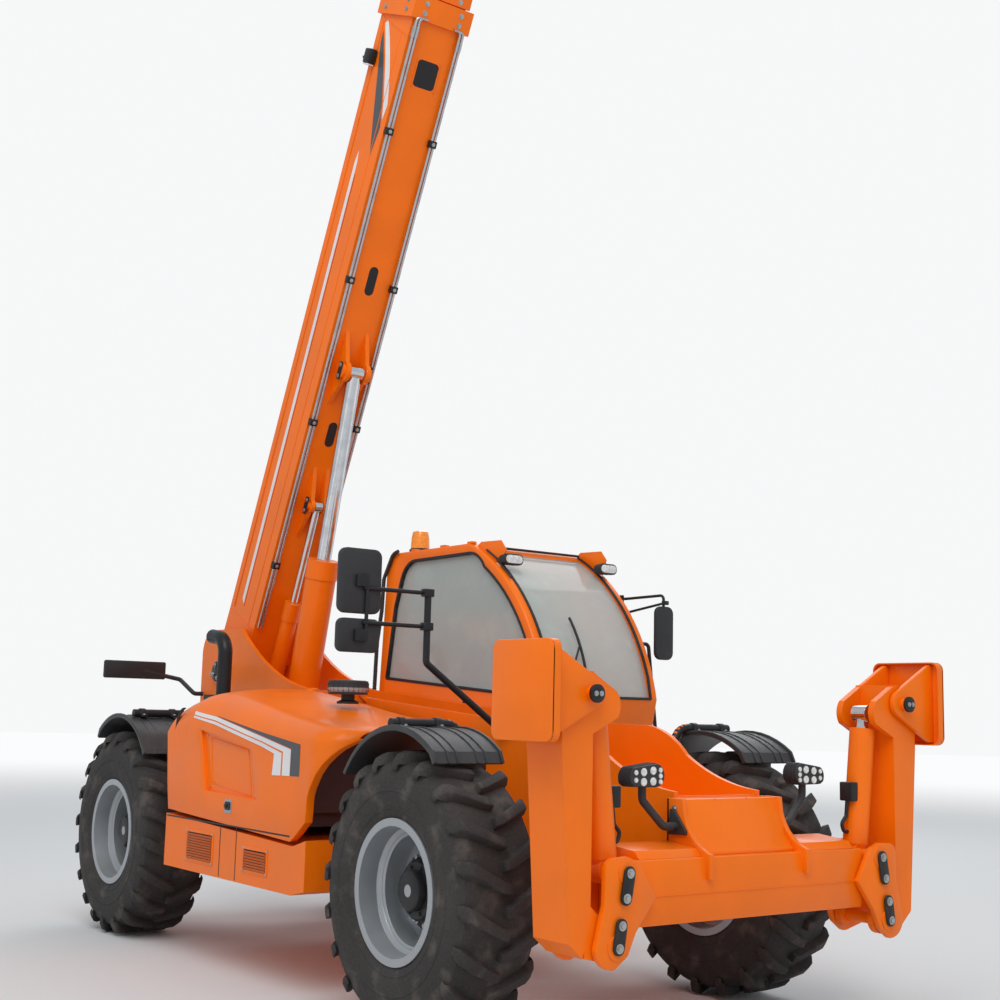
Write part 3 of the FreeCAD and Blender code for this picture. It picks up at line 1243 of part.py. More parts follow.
def make_mirrors():
    """The pair of mirrors on the long right arm and the single one beside the cab."""
    right = Piece("right_mirrors")
    right.pad("YZ", rectangle(-1300, -1063, 1925, 2245), 1290, 1330)
    right.pad("YZ", rectangle(-1300, -1063, 1735, 1900), 1290, 1330)
    foot = -plate_outer - s.seat_gap
    post = bent_tube([(1345, foot, 1385), (1345, -340, 1385), (1345, -795, 1698), (1345, -795, 2070)], 18, 30)
    right.boss("XZ", (1338, 2050), 11, -1150, -795)
    right.boss("XZ", (1338, 1880), 11, -1150, -795)
    left = Piece("left_mirror")
    left.pad("YZ", rectangle(1176, 1318, 1803, 2130), 885, 915)
    arm = bent_tube([
        (520, s.cab_outer_side + s.seat_gap, 2190), (520, 1245, 2190), (900, 1245, 2190), (900, 1245, 2128)], 10, 30)
    return node("mirrors", gathered(joined(right.body, post), joined(left.body, arm)))


def check_and_export():
    """Stop on a failed feature or a bad shape, then write one file for each piece."""
    document.recompute()
    for item in document.Objects:
        if {"Invalid", "Error"} & set(item.State):
            raise RuntimeError("%s failed: %s" % (item.Label, item.State))
    for item in NODES:
        if item.Shape.isNull() or not item.Shape.isValid():
            raise RuntimeError("%s has no sound shape" % item.Label)
    os.makedirs("parts", exist_ok=True)
    for item in NODES:
        item.Shape.exportStep("parts/%s.step" % item.Label)


make_main_frame()
make_front_beam()
make_axles()
make_knuckles_and_fenders()
make_wheels()
make_engine()
make_side_boxes()
make_hood()
make_pre_cleaner()
make_exhaust()
make_cab()
make_boom()
make_boom_pipes()
make_fork_carriage()
make_boom_cylinders()
make_stabilisers()
make_lamps()
make_mirrors()
check_and_export()
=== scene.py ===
"""Looks of the telescopic handler: finishes, fittings, lamps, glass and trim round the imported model."""
from __future__ import annotations

import json
import logging
import math
from dataclasses import dataclass
from enum import Enum
from typing import Sequence

import bmesh
import bpy
from mathutils import Matrix, Vector

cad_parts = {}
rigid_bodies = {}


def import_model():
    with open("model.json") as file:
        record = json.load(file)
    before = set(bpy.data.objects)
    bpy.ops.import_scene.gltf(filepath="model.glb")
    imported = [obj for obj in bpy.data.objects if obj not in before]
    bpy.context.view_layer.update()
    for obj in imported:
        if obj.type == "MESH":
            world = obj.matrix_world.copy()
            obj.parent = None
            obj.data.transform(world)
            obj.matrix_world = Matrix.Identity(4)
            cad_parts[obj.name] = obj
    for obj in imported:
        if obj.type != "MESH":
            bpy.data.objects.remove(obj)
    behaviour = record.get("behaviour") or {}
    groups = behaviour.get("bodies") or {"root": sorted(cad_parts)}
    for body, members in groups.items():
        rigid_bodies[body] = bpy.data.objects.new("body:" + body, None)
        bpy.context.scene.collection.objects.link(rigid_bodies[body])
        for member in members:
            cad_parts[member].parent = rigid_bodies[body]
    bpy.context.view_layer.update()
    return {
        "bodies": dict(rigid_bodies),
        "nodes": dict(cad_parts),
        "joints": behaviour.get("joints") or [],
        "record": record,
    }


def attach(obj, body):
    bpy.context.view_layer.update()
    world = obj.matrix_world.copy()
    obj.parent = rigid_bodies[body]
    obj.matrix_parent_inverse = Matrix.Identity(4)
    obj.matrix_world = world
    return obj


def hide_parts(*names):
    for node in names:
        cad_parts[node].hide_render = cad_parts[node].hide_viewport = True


LOG = logging.getLogger("telehandler")
ORIGIN_STATION = 0.23

Point = tuple[float, float, float]
Flat = tuple[float, float]
Colour = tuple[float, float, float]


class Plane(Enum):
    """Planes in which an outline is drawn, each with the axis along which it is extruded."""

    SIDE = "xz"
    FRONT = "yz"
    PLAN = "xy"


class Axis(Enum):
    """Axes of the frame, for turned pieces."""

    X = Vector((1, 0, 0))
    Y = Vector((0, 1, 0))
    Z = Vector((0, 0, 1))


def station(value: float) -> float:
    """Turn a station measured from the middle of the wheel base into an X of the frame."""
    return value - ORIGIN_STATION


def located(point: Point) -> Vector:
    """Turn a point with a station into a vector of the frame."""
    return Vector((station(point[0]), point[1], point[2]))


def place(plane: Plane, a: float, b: float, level: float) -> Vector:
    """Give the point of the frame at (a, b) of a plane.

    Args:
        plane: The plane that the outline is drawn in; an X counts as a station.
        a: First coordinate in the plane.
        b: Second coordinate in the plane.
        level: Coordinate along the plane's normal.

    Returns:
        The point in the frame, in metres.
    """
    if plane is Plane.SIDE:
        return located((a, level, b))
    if plane is Plane.FRONT:
        return located((level, a, b))
    return located((a, b, level))


class Shape:
    """A mesh under construction, to which solids of several kinds are added."""

    def __init__(self) -> None:
        """Start with an empty mesh."""
        self.mesh = bmesh.new()

    def _take(self, piece: bmesh.types.BMesh) -> None:
        """Move a finished solid into this mesh."""
        bmesh.ops.recalc_face_normals(piece, faces=piece.faces)
        data = bpy.data.meshes.new("part")
        piece.to_mesh(data)
        piece.free()
        self.mesh.from_mesh(data)
        bpy.data.meshes.remove(data)

    def prism(self, plane: Plane, outline: Sequence[Flat], low: float, high: float, bevel: float = 0.0,
            segments: int = 2) -> "Shape":
        """Add an outline extruded between two levels, its edges rounded.

        Args:
            plane: Plane of the outline.
            outline: Corners in order, in metres, with X as a station.
            low: Lower level along the plane's normal.
            high: Upper level along the plane's normal.
            bevel: Radius of the rounded edges.
            segments: Number of faces across a rounded edge.

        Returns:
            This shape.
        """
        piece = bmesh.new()
        ends = [[piece.verts.new(place(plane, a, b, level)) for a, b in outline] for level in (low, high)]
        count = len(outline)
        piece.faces.new(ends[0])
        piece.faces.new(ends[1][::-1])
        for i in range(count):
            j = (i + 1) % count
            piece.faces.new((ends[0][i], ends[0][j], ends[1][j], ends[1][i]))
        bmesh.ops.recalc_face_normals(piece, faces=piece.faces)
        if bevel:
            sharp = [e for e in piece.edges if e.calc_face_angle(0) > math.radians(25)]
            bmesh.ops.bevel(piece, geom=sharp, offset=bevel, segments=segments, profile=0.5, affect="EDGES",
                clamp_overlap=True)
        self._take(piece)
        return self

    def slab(self, plane: Plane, outline: Sequence[Flat], side: int, near: float, far: float,
            bevel: float = 0.0) -> "Shape":
        """Add an outline extruded between two distances from the middle, on one side of the machine."""
        return self.prism(plane, outline, *sorted((side * near, side * far)), bevel)

    def box(self, low: Point, high: Point, bevel: float = 0.0, segments: int = 2) -> "Shape":
        """Add a box between two corners of the station frame."""
        outline = [(low[0], low[1]), (high[0], low[1]), (high[0], high[1]), (low[0], high[1])]
        return self.prism(Plane.PLAN, outline, low[2], high[2], bevel, segments)

    def lathe(self, profile: Sequence[Flat], centre: Point, axis: Axis | Vector, steps: int = 32) -> "Shape":
        """Add a profile of (distance along the axis, radius) turned about an axis through a point.

        Args:
            profile: Points from one end to the other; a radius of 0 closes the end. A profile that
                comes back to its first point makes a ring.
            centre: Point on the axis, with X as a station.
            axis: Direction of the axis.
            steps: Number of faces round the axis.

        Returns:
            This shape.
        """
        along = (axis.value if isinstance(axis, Axis) else Vector(axis)).normalized()
        across = along.orthogonal().normalized()
        third = along.cross(across)
        origin = located(centre)
        piece = bmesh.new()
        rings = []
        closed = tuple(profile[0]) == tuple(profile[-1])
        for distance, radius in profile:
            middle = origin + along * distance
            if radius <= 1e-6:
                rings.append([piece.verts.new(middle)])
                continue
            rings.append([piece.verts.new(middle + (across * math.cos(t) + third * math.sin(t)) * radius)
                    for t in (2 * math.pi * k / steps for k in range(steps))])
        for one, two in zip(rings, rings[1:]):
            for k in range(steps):
                m = (k + 1) % steps
                if len(one) == 1 and len(two) == 1:
                    continue
                if len(one) == 1:
                    piece.faces.new((one[0], two[k], two[m]))
                elif len(two) == 1:
                    piece.faces.new((one[k], one[m], two[0]))
                else:
                    piece.faces.new((one[k], one[m], two[m], two[k]))
        if closed:
            bmesh.ops.remove_doubles(piece, verts=piece.verts, dist=1e-6)
        for ring in () if closed else (rings[0], rings[-1]):
            if len(ring) > 1:
                piece.faces.new(ring)
        self._take(piece)
        return self

    def tube(self, points: Sequence[Point], radius: float, bend: float = 0.0, sides: int = 12) -> "Shape":
        """Add a round bar along points, its corners bent to a radius.

        Args:
            points: Corners of the route, with X as a station.
            radius: Radius of the bar.
            bend: Radius of the bends at the corners.
            sides: Number of faces round the bar.

        Returns:
            This shape.
        """
        route = bent_route([located(point) for point in points], bend)
        piece = bmesh.new()
        forward = (route[1] - route[0]).normalized()
        across = forward.orthogonal().normalized()
        rings = []
        for i, point in enumerate(route):
            before = (point - route[i - 1]).normalized() if i else forward
            after = (route[i + 1] - point).normalized() if i + 1 < len(route) else before
            new = (before + after).normalized()
            across = (across - new * across.dot(new)).normalized()
            third = new.cross(across)
            rings.append([piece.verts.new(point + (across * math.cos(t) + third * math.sin(t)) * radius)
                    for t in (2 * math.pi * k / sides for k in range(sides))])
        for one, two in zip(rings, rings[1:]):
            for k in range(sides):
                m = (k + 1) % sides
                piece.faces.new((one[k], one[m], two[m], two[k]))
        piece.faces.new(rings[0][::-1])
        piece.faces.new(rings[-1])
        self._take(piece)
        return self

    def add(self, other: "Shape", move: Matrix | None = None) -> "Shape":
        """Add a copy of another shape, moved by a matrix."""
        data = bpy.data.meshes.new("part")
        other.mesh.to_mesh(data)
        if move is not None:
            data.transform(move)
            if move.determinant() < 0:
                data.flip_normals()
        self.mesh.from_mesh(data)
        bpy.data.meshes.remove(data)
        return self

    def finish(self, name: str, body: str, finish: "Finish", slot: str | None = None,
            smooth: float = 40.0) -> bpy.types.Object:
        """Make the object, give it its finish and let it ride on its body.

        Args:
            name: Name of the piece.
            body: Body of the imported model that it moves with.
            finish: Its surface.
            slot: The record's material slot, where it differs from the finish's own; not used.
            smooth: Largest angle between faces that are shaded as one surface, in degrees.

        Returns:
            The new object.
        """
        data = bpy.data.meshes.new(name)
        self.mesh.to_mesh(data)
        self.mesh.free()
        return present(data, name, body, finish, smooth)


def present(data: bpy.types.Mesh, name: str, body: str, finish: "Finish",
        smooth: float = 40.0) -> bpy.types.Object:
    """Turn mesh data into a finished piece that rides on a body.

    Args:
        data: The mesh, in the frame's metres.
        name: Name of the piece.
        body: Body that it moves with.
        finish: Its surface.
        smooth: Largest angle between faces that are shaded as one surface, in degrees.

    Returns:
        The new object.
    """
    data.name = name
    data.materials.clear()
    data.materials.append(finish.material())
    item = bpy.data.objects.new(name, data)
    bpy.context.scene.collection.objects.link(item)
    data.shade_smooth()
    data.set_sharp_from_angle(angle=math.radians(smooth))
    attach(item, body)
    LOG.info("piece %s on %s: %d faces", name, body, len(data.polygons))
    return item


def bent_route(points: Sequence[Vector], bend: float) -> list[Vector]:
    """Round the corners of a route.

    Args:
        points: Corners of the route.
        bend: Radius of the bends.

    Returns:
        Points along the runs and the bends.
    """
    if bend <= 0 or len(points) < 3:
        return list(points)
    route = [points[0]]
    for before, corner, after in zip(points, points[1:], points[2:]):
        back, ahead = (before - corner).normalized(), (after - corner).normalized()
        turn = math.pi - back.angle(ahead)
        if turn < 0.02:
            route.append(corner)
            continue
        cut = min(bend * math.tan(turn / 2), 0.49 * (before - corner).length, 0.49 * (after - corner).length)
        radius = cut / math.tan(turn / 2)
        start = corner + back * cut
        centre = corner + (back + ahead).normalized() * (radius / math.cos(turn / 2))
        arm = start - centre
        normal = arm.cross(corner + ahead * cut - centre).normalized()
        steps = max(3, int(turn / math.radians(15)) + 1)
        route += [centre + Matrix.Rotation(turn * k / steps, 3, normal) @ arm for k in range(steps + 1)]
    route.append(points[-1])
    return route


class Nodes:
    """A shader tree under construction."""

    def __init__(self, tree: bpy.types.NodeTree) -> None:
        """Take the tree to build in."""
        self.tree = tree

    def add(self, kind: str, **settings: object) -> bpy.types.Node:
        """Add a node; settings name its properties, or its inputs by number as in0, in1 and so on."""
        node = self.tree.nodes.new(kind)
        for key, value in settings.items():
            if key.startswith("in") and key[2:].isdigit():
                node.inputs[int(key[2:])].default_value = value
            else:
                setattr(node, key, value)
        return node

    def link(self, source: bpy.types.NodeSocket, target: bpy.types.NodeSocket) -> None:
        """Join an output to an input."""
        self.tree.links.new(source, target)

    def where(self) -> bpy.types.NodeSocket:
        """Give the Object coordinates."""
        return self.add("ShaderNodeTexCoord").outputs["Object"]

    def math(self, operation: str, one: object, two: object = None) -> bpy.types.NodeSocket:
        """Give the result of a sum of two sockets or numbers.

        Args:
            operation: Name of the Math node's operation.
            one: First socket or number.
            two: Second socket or number.

        Returns:
            The node's output.
        """
        node = self.add("ShaderNodeMath", operation=operation)
        for socket, value in zip(node.inputs, (one, two)):
            if isinstance(value, bpy.types.NodeSocket):
                self.link(value, socket)
            elif value is not None:
                socket.default_value = value
        return node.outputs[0]

    def noise(self, scale: float, detail: float = 3.0, stretch: Point = (1, 1, 1)) -> bpy.types.NodeSocket:
        """Give a noise over Object coordinates, stretched along the axes."""
        where = self.where()
        mapping = self.add("ShaderNodeMapping")
        mapping.inputs["Scale"].default_value = stretch
        self.link(where, mapping.inputs["Vector"])
        node = self.add("ShaderNodeTexNoise")
        node.inputs["Scale"].default_value = scale
        node.inputs["Detail"].default_value = detail
        self.link(mapping.outputs[0], node.inputs["Vector"])
        return node.outputs["Fac"]

    def band(self, value: bpy.types.NodeSocket, low: float, high: float, out_low: float = 0.0,
            out_high: float = 1.0) -> bpy.types.NodeSocket:
        """Map a value from one range to another, held at the ends."""
        node = self.add("ShaderNodeMapRange")
        node.interpolation_type = "SMOOTHSTEP"
        for socket, number in zip(node.inputs[1:5], (low, high, out_low, out_high)):
            socket.default_value = number
        self.link(value, node.inputs[0])
        return node.outputs[0]

    def mix(self, factor: bpy.types.NodeSocket, one: object, two: object) -> bpy.types.NodeSocket:
        """Mix two colours, each a socket or a colour, by a factor."""
        node = self.add("ShaderNodeMix", data_type="RGBA")
        self.link(factor, node.inputs[0])
        for socket, value in ((node.inputs[6], one), (node.inputs[7], two)):
            if isinstance(value, bpy.types.NodeSocket):
                self.link(value, socket)
            else:
                socket.default_value = (*value, 1.0)
        return node.outputs[2]


class Effect(Enum):
    """Shader groups that several finishes share."""

    DUST = "Settled dust"
    GRAIN = "Surface grain"
    EDGE = "Rounded edge"
    WEAR = "Edge wear"


def group_sockets(tree: bpy.types.NodeTree, inputs: dict[str, float], outputs: dict[str, str]) -> tuple:
    """Give a shader group its named sockets.

    Args:
        tree: The new group.
        inputs: Names of the number inputs with their usual values.
        outputs: Names of the outputs with their socket types.

    Returns:
        The group's input and output nodes.
    """
    for name, value in inputs.items():
        socket = tree.interface.new_socket(name=name, in_out="INPUT", socket_type="NodeSocketFloat")
        socket.default_value = value
    for name, kind in outputs.items():
        tree.interface.new_socket(name=name, in_out="OUTPUT", socket_type=kind)
    return tree.nodes.new("NodeGroupInput"), tree.nodes.new("NodeGroupOutput")


def build_dust(tree: bpy.types.NodeTree) -> None:
    """Dust that lies thickest near the ground and on faces that look up."""
    n = Nodes(tree)
    source, target = group_sockets(tree, {"Low": 0.3, "High": 1.6, "Amount": 0.3, "Scale": 6.0},
        {"Mask": "NodeSocketFloat"})
    where = n.where()
    split = n.add("ShaderNodeSeparateXYZ")
    n.link(where, split.inputs[0])
    fall = n.add("ShaderNodeMapRange")
    for socket, wire in ((0, split.outputs[2]), (1, source.outputs["High"]), (2, source.outputs["Low"])):
        n.link(wire, fall.inputs[socket])
    cloud = n.add("ShaderNodeTexNoise", in3=6.0)
    n.link(where, cloud.inputs["Vector"])
    n.link(source.outputs["Scale"], cloud.inputs["Scale"])
    spread = n.band(cloud.outputs["Fac"], 0.42, 0.72)
    facing = n.add("ShaderNodeSeparateXYZ")
    n.link(n.add("ShaderNodeNewGeometry").outputs["Normal"], facing.inputs[0])
    up = n.band(facing.outputs[2], 0.3, 1.0, 0.25, 1.0)
    mask = n.math("MULTIPLY", n.math("MULTIPLY", fall.outputs[0], spread),
        n.math("MULTIPLY", up, source.outputs["Amount"]))
    n.link(mask, target.inputs["Mask"])


def build_grain(tree: bpy.types.NodeTree) -> None:
    """Fine unevenness of a surface, as a height and as a mask of larger clouds."""
    n = Nodes(tree)
    source, target = group_sockets(tree, {"Scale": 200.0, "Clouds": 3.0},
        {"Height": "NodeSocketFloat", "Mask": "NodeSocketFloat"})
    where = n.where()
    for name, output, detail in (("Scale", "Height", 4.0), ("Clouds", "Mask", 5.0)):
        cloud = n.add("ShaderNodeTexNoise")
        cloud.inputs["Detail"].default_value = detail
        n.link(where, cloud.inputs["Vector"])
        n.link(source.outputs[name], cloud.inputs["Scale"])
        n.link(cloud.outputs["Fac"], target.inputs[output])


def build_edge(tree: bpy.types.NodeTree) -> None:
    """The normal of a surface whose sharp edges are slightly rounded."""
    n = Nodes(tree)
    source, target = group_sockets(tree, {"Radius": 0.004}, {"Normal": "NodeSocketVector"})
    bevel = n.add("ShaderNodeBevel", samples=4)
    n.link(source.outputs["Radius"], bevel.inputs["Radius"])
    n.link(bevel.outputs[0], target.inputs["Normal"])


def build_wear(tree: bpy.types.NodeTree) -> None:
    """A mask that is 1 along sharp edges, broken up by a noise."""
    n = Nodes(tree)
    source, target = group_sockets(tree, {"Radius": 0.006, "Scale": 30.0, "Amount": 0.5},
        {"Mask": "NodeSocketFloat"})
    bevel = n.add("ShaderNodeBevel", samples=4)
    n.link(source.outputs["Radius"], bevel.inputs["Radius"])
    meet = n.add("ShaderNodeVectorMath", operation="DOT_PRODUCT")
    n.link(bevel.outputs[0], meet.inputs[0])
    n.link(n.add("ShaderNodeNewGeometry").outputs["True Normal"], meet.inputs[1])
    edge = n.band(meet.outputs["Value"], 0.995, 0.86)
    cloud = n.add("ShaderNodeTexNoise")
    cloud.inputs["Detail"].default_value = 6.0
    n.link(n.where(), cloud.inputs["Vector"])
    n.link(source.outputs["Scale"], cloud.inputs["Scale"])
    broken = n.band(cloud.outputs["Fac"], 0.46, 0.66)
    n.link(n.math("MULTIPLY", n.math("MULTIPLY", edge, broken), source.outputs["Amount"]),
        target.inputs["Mask"])


BUILDERS = {Effect.DUST: build_dust, Effect.GRAIN: build_grain, Effect.EDGE: build_edge,
    Effect.WEAR: build_wear}


def effect(nodes: Nodes, kind: Effect, **values: float) -> bpy.types.Node:
    """Place a shared effect in a material.

    Args:
        nodes: The material's tree.
        kind: Which effect.
        **values: Its named inputs.

    Returns:
        The group node.
    """
    tree = bpy.data.node_groups.get(kind.value)
    if tree is None:
        tree = bpy.data.node_groups.new(kind.value, "ShaderNodeTree")
        BUILDERS[kind](tree)
    node = nodes.add("ShaderNodeGroup")
    node.node_tree = tree
    for name, value in values.items():
        node.inputs[name].default_value = value
    return node


def bumped(n: Nodes, shader: bpy.types.Node, height: bpy.types.NodeSocket, strength: float, distance: float,
        edge: float = 0.0) -> None:
    """Give a shader a bump, over rounded edges where asked.

    Args:
        n: The material's tree.
        shader: Its shader.
        height: Socket with the height.
        strength: Strength of the bump.
        distance: Depth of the grain in metres.
        edge: Radius of the rounded edges, or 0 for none.
    """
    bump = n.add("ShaderNodeBump")
    bump.inputs["Strength"].default_value = strength
    bump.inputs["Distance"].default_value = distance
    n.link(height, bump.inputs["Height"])
    if edge:
        n.link(effect(n, Effect.EDGE, Radius=edge).outputs["Normal"], bump.inputs["Normal"])
    n.link(bump.outputs[0], shader.inputs["Normal"])


@dataclass(frozen=True)
class Finish:
    """A surface: its name, the record's slot, its colour and how it takes light."""

    name: str
    slot: str
    colour: Colour
    rough: float = 0.5
    metallic: float = 0.0
    coat: float = 0.0

    def material(self) -> bpy.types.Material:
        """Give the material, made once."""
        made = bpy.data.materials.get(self.name)
        if made is not None:
            return made
        made = bpy.data.materials.new(self.name)
        made.use_nodes = True
        shader = made.node_tree.nodes["Principled BSDF"]
        shader.inputs["Base Color"].default_value = (*self.colour, 1.0)
        shader.inputs["Roughness"].default_value = self.rough
        shader.inputs["Metallic"].default_value = self.metallic
        shader.inputs["Coat Weight"].default_value = self.coat
        made.diffuse_color = (*self.colour, 1.0)
        self.dress(Nodes(made.node_tree), shader)
        return made

    def dress(self, n: Nodes, shader: bpy.types.Node) -> None:
        """Add the detail of the surface to its shader."""
        self.relief(n, shader, 120.0, 0.02, 0.0005)

    def relief(self, n: Nodes, shader: bpy.types.Node, scale: float, strength: float, distance: float,
            edge: float = 0.0) -> bpy.types.Node:
        """Give the shader a fine bump over rounded edges.

        Args:
            n: The material's tree.
            shader: Its shader.
            scale: Scale of the grain.
            strength: Strength of the bump.
            distance: Depth of the grain in metres.
            edge: Radius of the rounded edges, or 0 for none.

        Returns:
            The grain's group node.
        """
        grain = effect(n, Effect.GRAIN, Scale=scale)
        bumped(n, shader, grain.outputs["Height"], strength, distance, edge)
        return grain


@dataclass(frozen=True)
class Paint(Finish):
    """Sprayed gloss paint on steel, slightly uneven, dusty below and worn along its edges."""

    dust: float = 0.25
    wear: float = 0.25
    edge: float = 0.004
    orange_peel: float = 0.06

    def dress(self, n: Nodes, shader: bpy.types.Node) -> None:
        """Vary the colour, add the spray's texture, the dust and the worn edges."""
        grain = self.relief(n, shader, 260.0, self.orange_peel, 0.002, self.edge)
        darker = tuple(c * 0.93 for c in self.colour)
        base = n.mix(n.band(grain.outputs["Mask"], 0.35, 0.65), darker, self.colour)
        worn = effect(n, Effect.WEAR, Amount=self.wear)
        pale = tuple(min(1.0, c * 0.6 + 0.25) for c in self.colour)
        base = n.mix(worn.outputs["Mask"], base, pale)
        shader.inputs["Specular IOR Level"].default_value = 0.25
        dust = effect(n, Effect.DUST, Amount=self.dust)
        base = n.mix(dust.outputs["Mask"], base, (0.32, 0.27, 0.22))
        n.link(base, shader.inputs["Base Color"])
        n.link(n.math("ADD", n.math("MULTIPLY", dust.outputs["Mask"], 0.5),
                n.band(grain.outputs["Mask"], 0.3, 0.7, self.rough * 0.85, self.rough * 1.2)),
            shader.inputs["Roughness"])


@dataclass(frozen=True)
class Rubber(Finish):
    """Tyre rubber with a chalky bloom and soil in its hollows."""

    soil: Colour = (0.16, 0.13, 0.11)

    def dress(self, n: Nodes, shader: bpy.types.Node) -> None:
        """Mix the bloom and the soil into the rubber."""
        grain = self.relief(n, shader, 90.0, 0.35, 0.002, 0.004)
        bloom = n.mix(n.band(grain.outputs["Mask"], 0.4, 0.7), self.colour,
            tuple(c * 1.45 for c in self.colour))
        streak = n.band(n.noise(9.0, 6.0), 0.5, 0.75, 0.0, 0.45)
        n.link(n.mix(streak, bloom, self.soil), shader.inputs["Base Color"])
        n.link(n.band(grain.outputs["Height"], 0.3, 0.7, self.rough * 0.85, min(1.0, self.rough * 1.1)),
            shader.inputs["Roughness"])


@dataclass(frozen=True)
class Plastic(Finish):
    """Moulded plastic with a leathery grain and a little dust."""

    grain: float = 0.25
    dust: float = 0.3

    def dress(self, n: Nodes, shader: bpy.types.Node) -> None:
        """Add the moulded grain and the dust."""
        grain = self.relief(n, shader, 420.0, self.grain, 0.0012, 0.003)
        dust = effect(n, Effect.DUST, Amount=self.dust, High=2.2)
        base = n.mix(n.band(grain.outputs["Mask"], 0.4, 0.65), self.colour,
            tuple(c * 1.3 for c in self.colour))
        n.link(n.mix(dust.outputs["Mask"], base, (0.25, 0.23, 0.2)), shader.inputs["Base Color"])
        n.link(n.band(grain.outputs["Height"], 0.3, 0.7, self.rough * 0.85, min(1.0, self.rough * 1.15)),
            shader.inputs["Roughness"])


@dataclass(frozen=True)
class Metal(Finish):
    """Bare metal with drawn lines along one axis."""

    drawn: Point = (1.0, 1.0, 1.0)
    lines: float = 0.05

    def dress(self, n: Nodes, shader: bpy.types.Node) -> None:
        """Add the drawn lines and the smudges."""
        lines = n.noise(300.0, 2.0, self.drawn)
        bumped(n, shader, lines, self.lines, 0.0006, 0.0015)
        smudge = n.band(n.noise(14.0, 4.0), 0.4, 0.7)
        n.link(n.mix(smudge, self.colour, tuple(c * 0.86 for c in self.colour)), shader.inputs["Base Color"])
        n.link(n.band(n.noise(14.0, 4.0), 0.35, 0.75, self.rough * 0.8, self.rough * 1.4),
            shader.inputs["Roughness"])


@dataclass(frozen=True)
class Glass(Finish):
    """Clear or tinted glass with a faint film of dust."""

    clear: float = 0.75

    def dress(self, n: Nodes, shader: bpy.types.Node) -> None:
        """Let most of the light through and lay the film of dust on top."""
        film = n.band(n.noise(5.0, 5.0), 0.45, 0.8, 1.0 - self.clear, 1.06 - self.clear)
        n.link(film, shader.inputs["Alpha"])
        n.link(n.band(n.noise(40.0, 3.0), 0.3, 0.7, self.rough, self.rough + 0.03),
            shader.inputs["Roughness"])


@dataclass(frozen=True)
class Lens(Finish):
    """A moulded lamp lens with fine ribs behind its surface."""

    glow: float = 0.0

    def dress(self, n: Nodes, shader: bpy.types.Node) -> None:
        """Add the ribs and the colour's depth."""
        grain = self.relief(n, shader, 60.0, 0.15, 0.001)
        base = n.mix(n.band(grain.outputs["Height"], 0.35, 0.65), tuple(c * 0.75 for c in self.colour),
            self.colour)
        n.link(base, shader.inputs["Base Color"])
        shader.inputs["Emission Strength"].default_value = self.glow
        shader.inputs["Emission Color"].default_value = (*self.colour, 1.0)


@dataclass(frozen=True)
class Cloth(Finish):
    """Woven seat cloth."""

    def dress(self, n: Nodes, shader: bpy.types.Node) -> None:
        """Weave two waves into a bump and vary the colour."""
        where = n.where()
        waves = []
        for direction in ("X", "Z"):
            wave = n.add("ShaderNodeTexWave", bands_direction=direction)
            wave.inputs["Scale"].default_value = 160.0
            n.link(where, wave.inputs["Vector"])
            waves.append(wave.outputs["Fac"])
        weave = n.math("MULTIPLY", waves[0], waves[1])
        bumped(n, shader, weave, 0.4, 0.001)
        n.link(n.mix(weave, self.colour, tuple(c * 1.6 for c in self.colour)), shader.inputs["Base Color"])


ORANGE = Paint("Orange paint", "orange_paint", (1.0, 0.185, 0.001), 0.36, coat=0.12, dust=0.05, wear=0.15)
BLACK = Paint("Black paint", "black_paint", (0.018, 0.018, 0.02), 0.42, coat=0.1, dust=0.35, wear=0.15)
SILVER = Paint("Silver paint", "silver_paint", (0.42, 0.44, 0.46), 0.34, metallic=0.55, coat=0.1, dust=0.35,
    wear=0.1)
TYRE = Rubber("Tyre rubber", "tyre_rubber", (0.03, 0.026, 0.024), 0.82)
PLASTIC = Plastic("Black plastic", "black_plastic", (0.022, 0.022, 0.024), 0.58)
SEAL = Plastic("Black seal", "black_plastic", (0.012, 0.012, 0.013), 0.5, grain=0.1, dust=0.1)
CHROME = Metal("Chrome rod", "chrome", (0.72, 0.73, 0.75), 0.1, metallic=1.0, lines=0.02)
PIPE = Metal("Steel pipe", "steel_pipe", (0.55, 0.56, 0.58), 0.28, metallic=1.0, drawn=(1, 1, 0.05))
BOLT = Metal("Zinc bolt", "steel_pipe", (0.5, 0.5, 0.49), 0.36, metallic=1.0)
IRON = Paint("Engine iron", "engine_iron", (0.1, 0.1, 0.11), 0.55, dust=0.3, orange_peel=0.2)
GLASS = Glass("Cab glass", "glass", (0.6, 0.7, 0.67), 0.03, clear=0.52)
SHADE = Glass("Shaded glass", "glass", (0.08, 0.1, 0.1), 0.04, clear=0.45)
CLEAR = Glass("Clear bowl", "glass", (0.75, 0.78, 0.8), 0.08, clear=0.55)
MIRROR = Metal("Mirror glass", "glass", (0.75, 0.78, 0.8), 0.03, metallic=1.0, lines=0.0)
LENS = Lens("Lamp lens", "glass", (0.85, 0.86, 0.84), 0.08, coat=0.5)
AMBER = Lens("Amber lens", "glass", (0.95, 0.3, 0.02), 0.15, coat=0.5, glow=0.15)
RED = Lens("Red lens", "glass", (0.55, 0.02, 0.015), 0.15, coat=0.5)
SEAT = Cloth("Cushion cloth", "black_plastic", (0.035, 0.035, 0.038), 0.9)
TRIM = Plastic("Grey trim", "black_plastic", (0.16, 0.165, 0.17), 0.6, dust=0.1)
FENDER = Plastic("Fender plastic", "black_plastic", (0.03, 0.03, 0.032), 0.45, grain=0.15)
# Near-black sheet in the hood vent and behind the box grilles: painted shade of the dark inside seen through
# them
GRILLE_SHADE = Plastic("Dark grille", "black_plastic", (0.008, 0.008, 0.009), 0.8, dust=0.1)
RED_FILM = Paint("Red film", "orange_paint", (0.5, 0.02, 0.01), 0.35, edge=0.0, wear=0.0, dust=0.1)
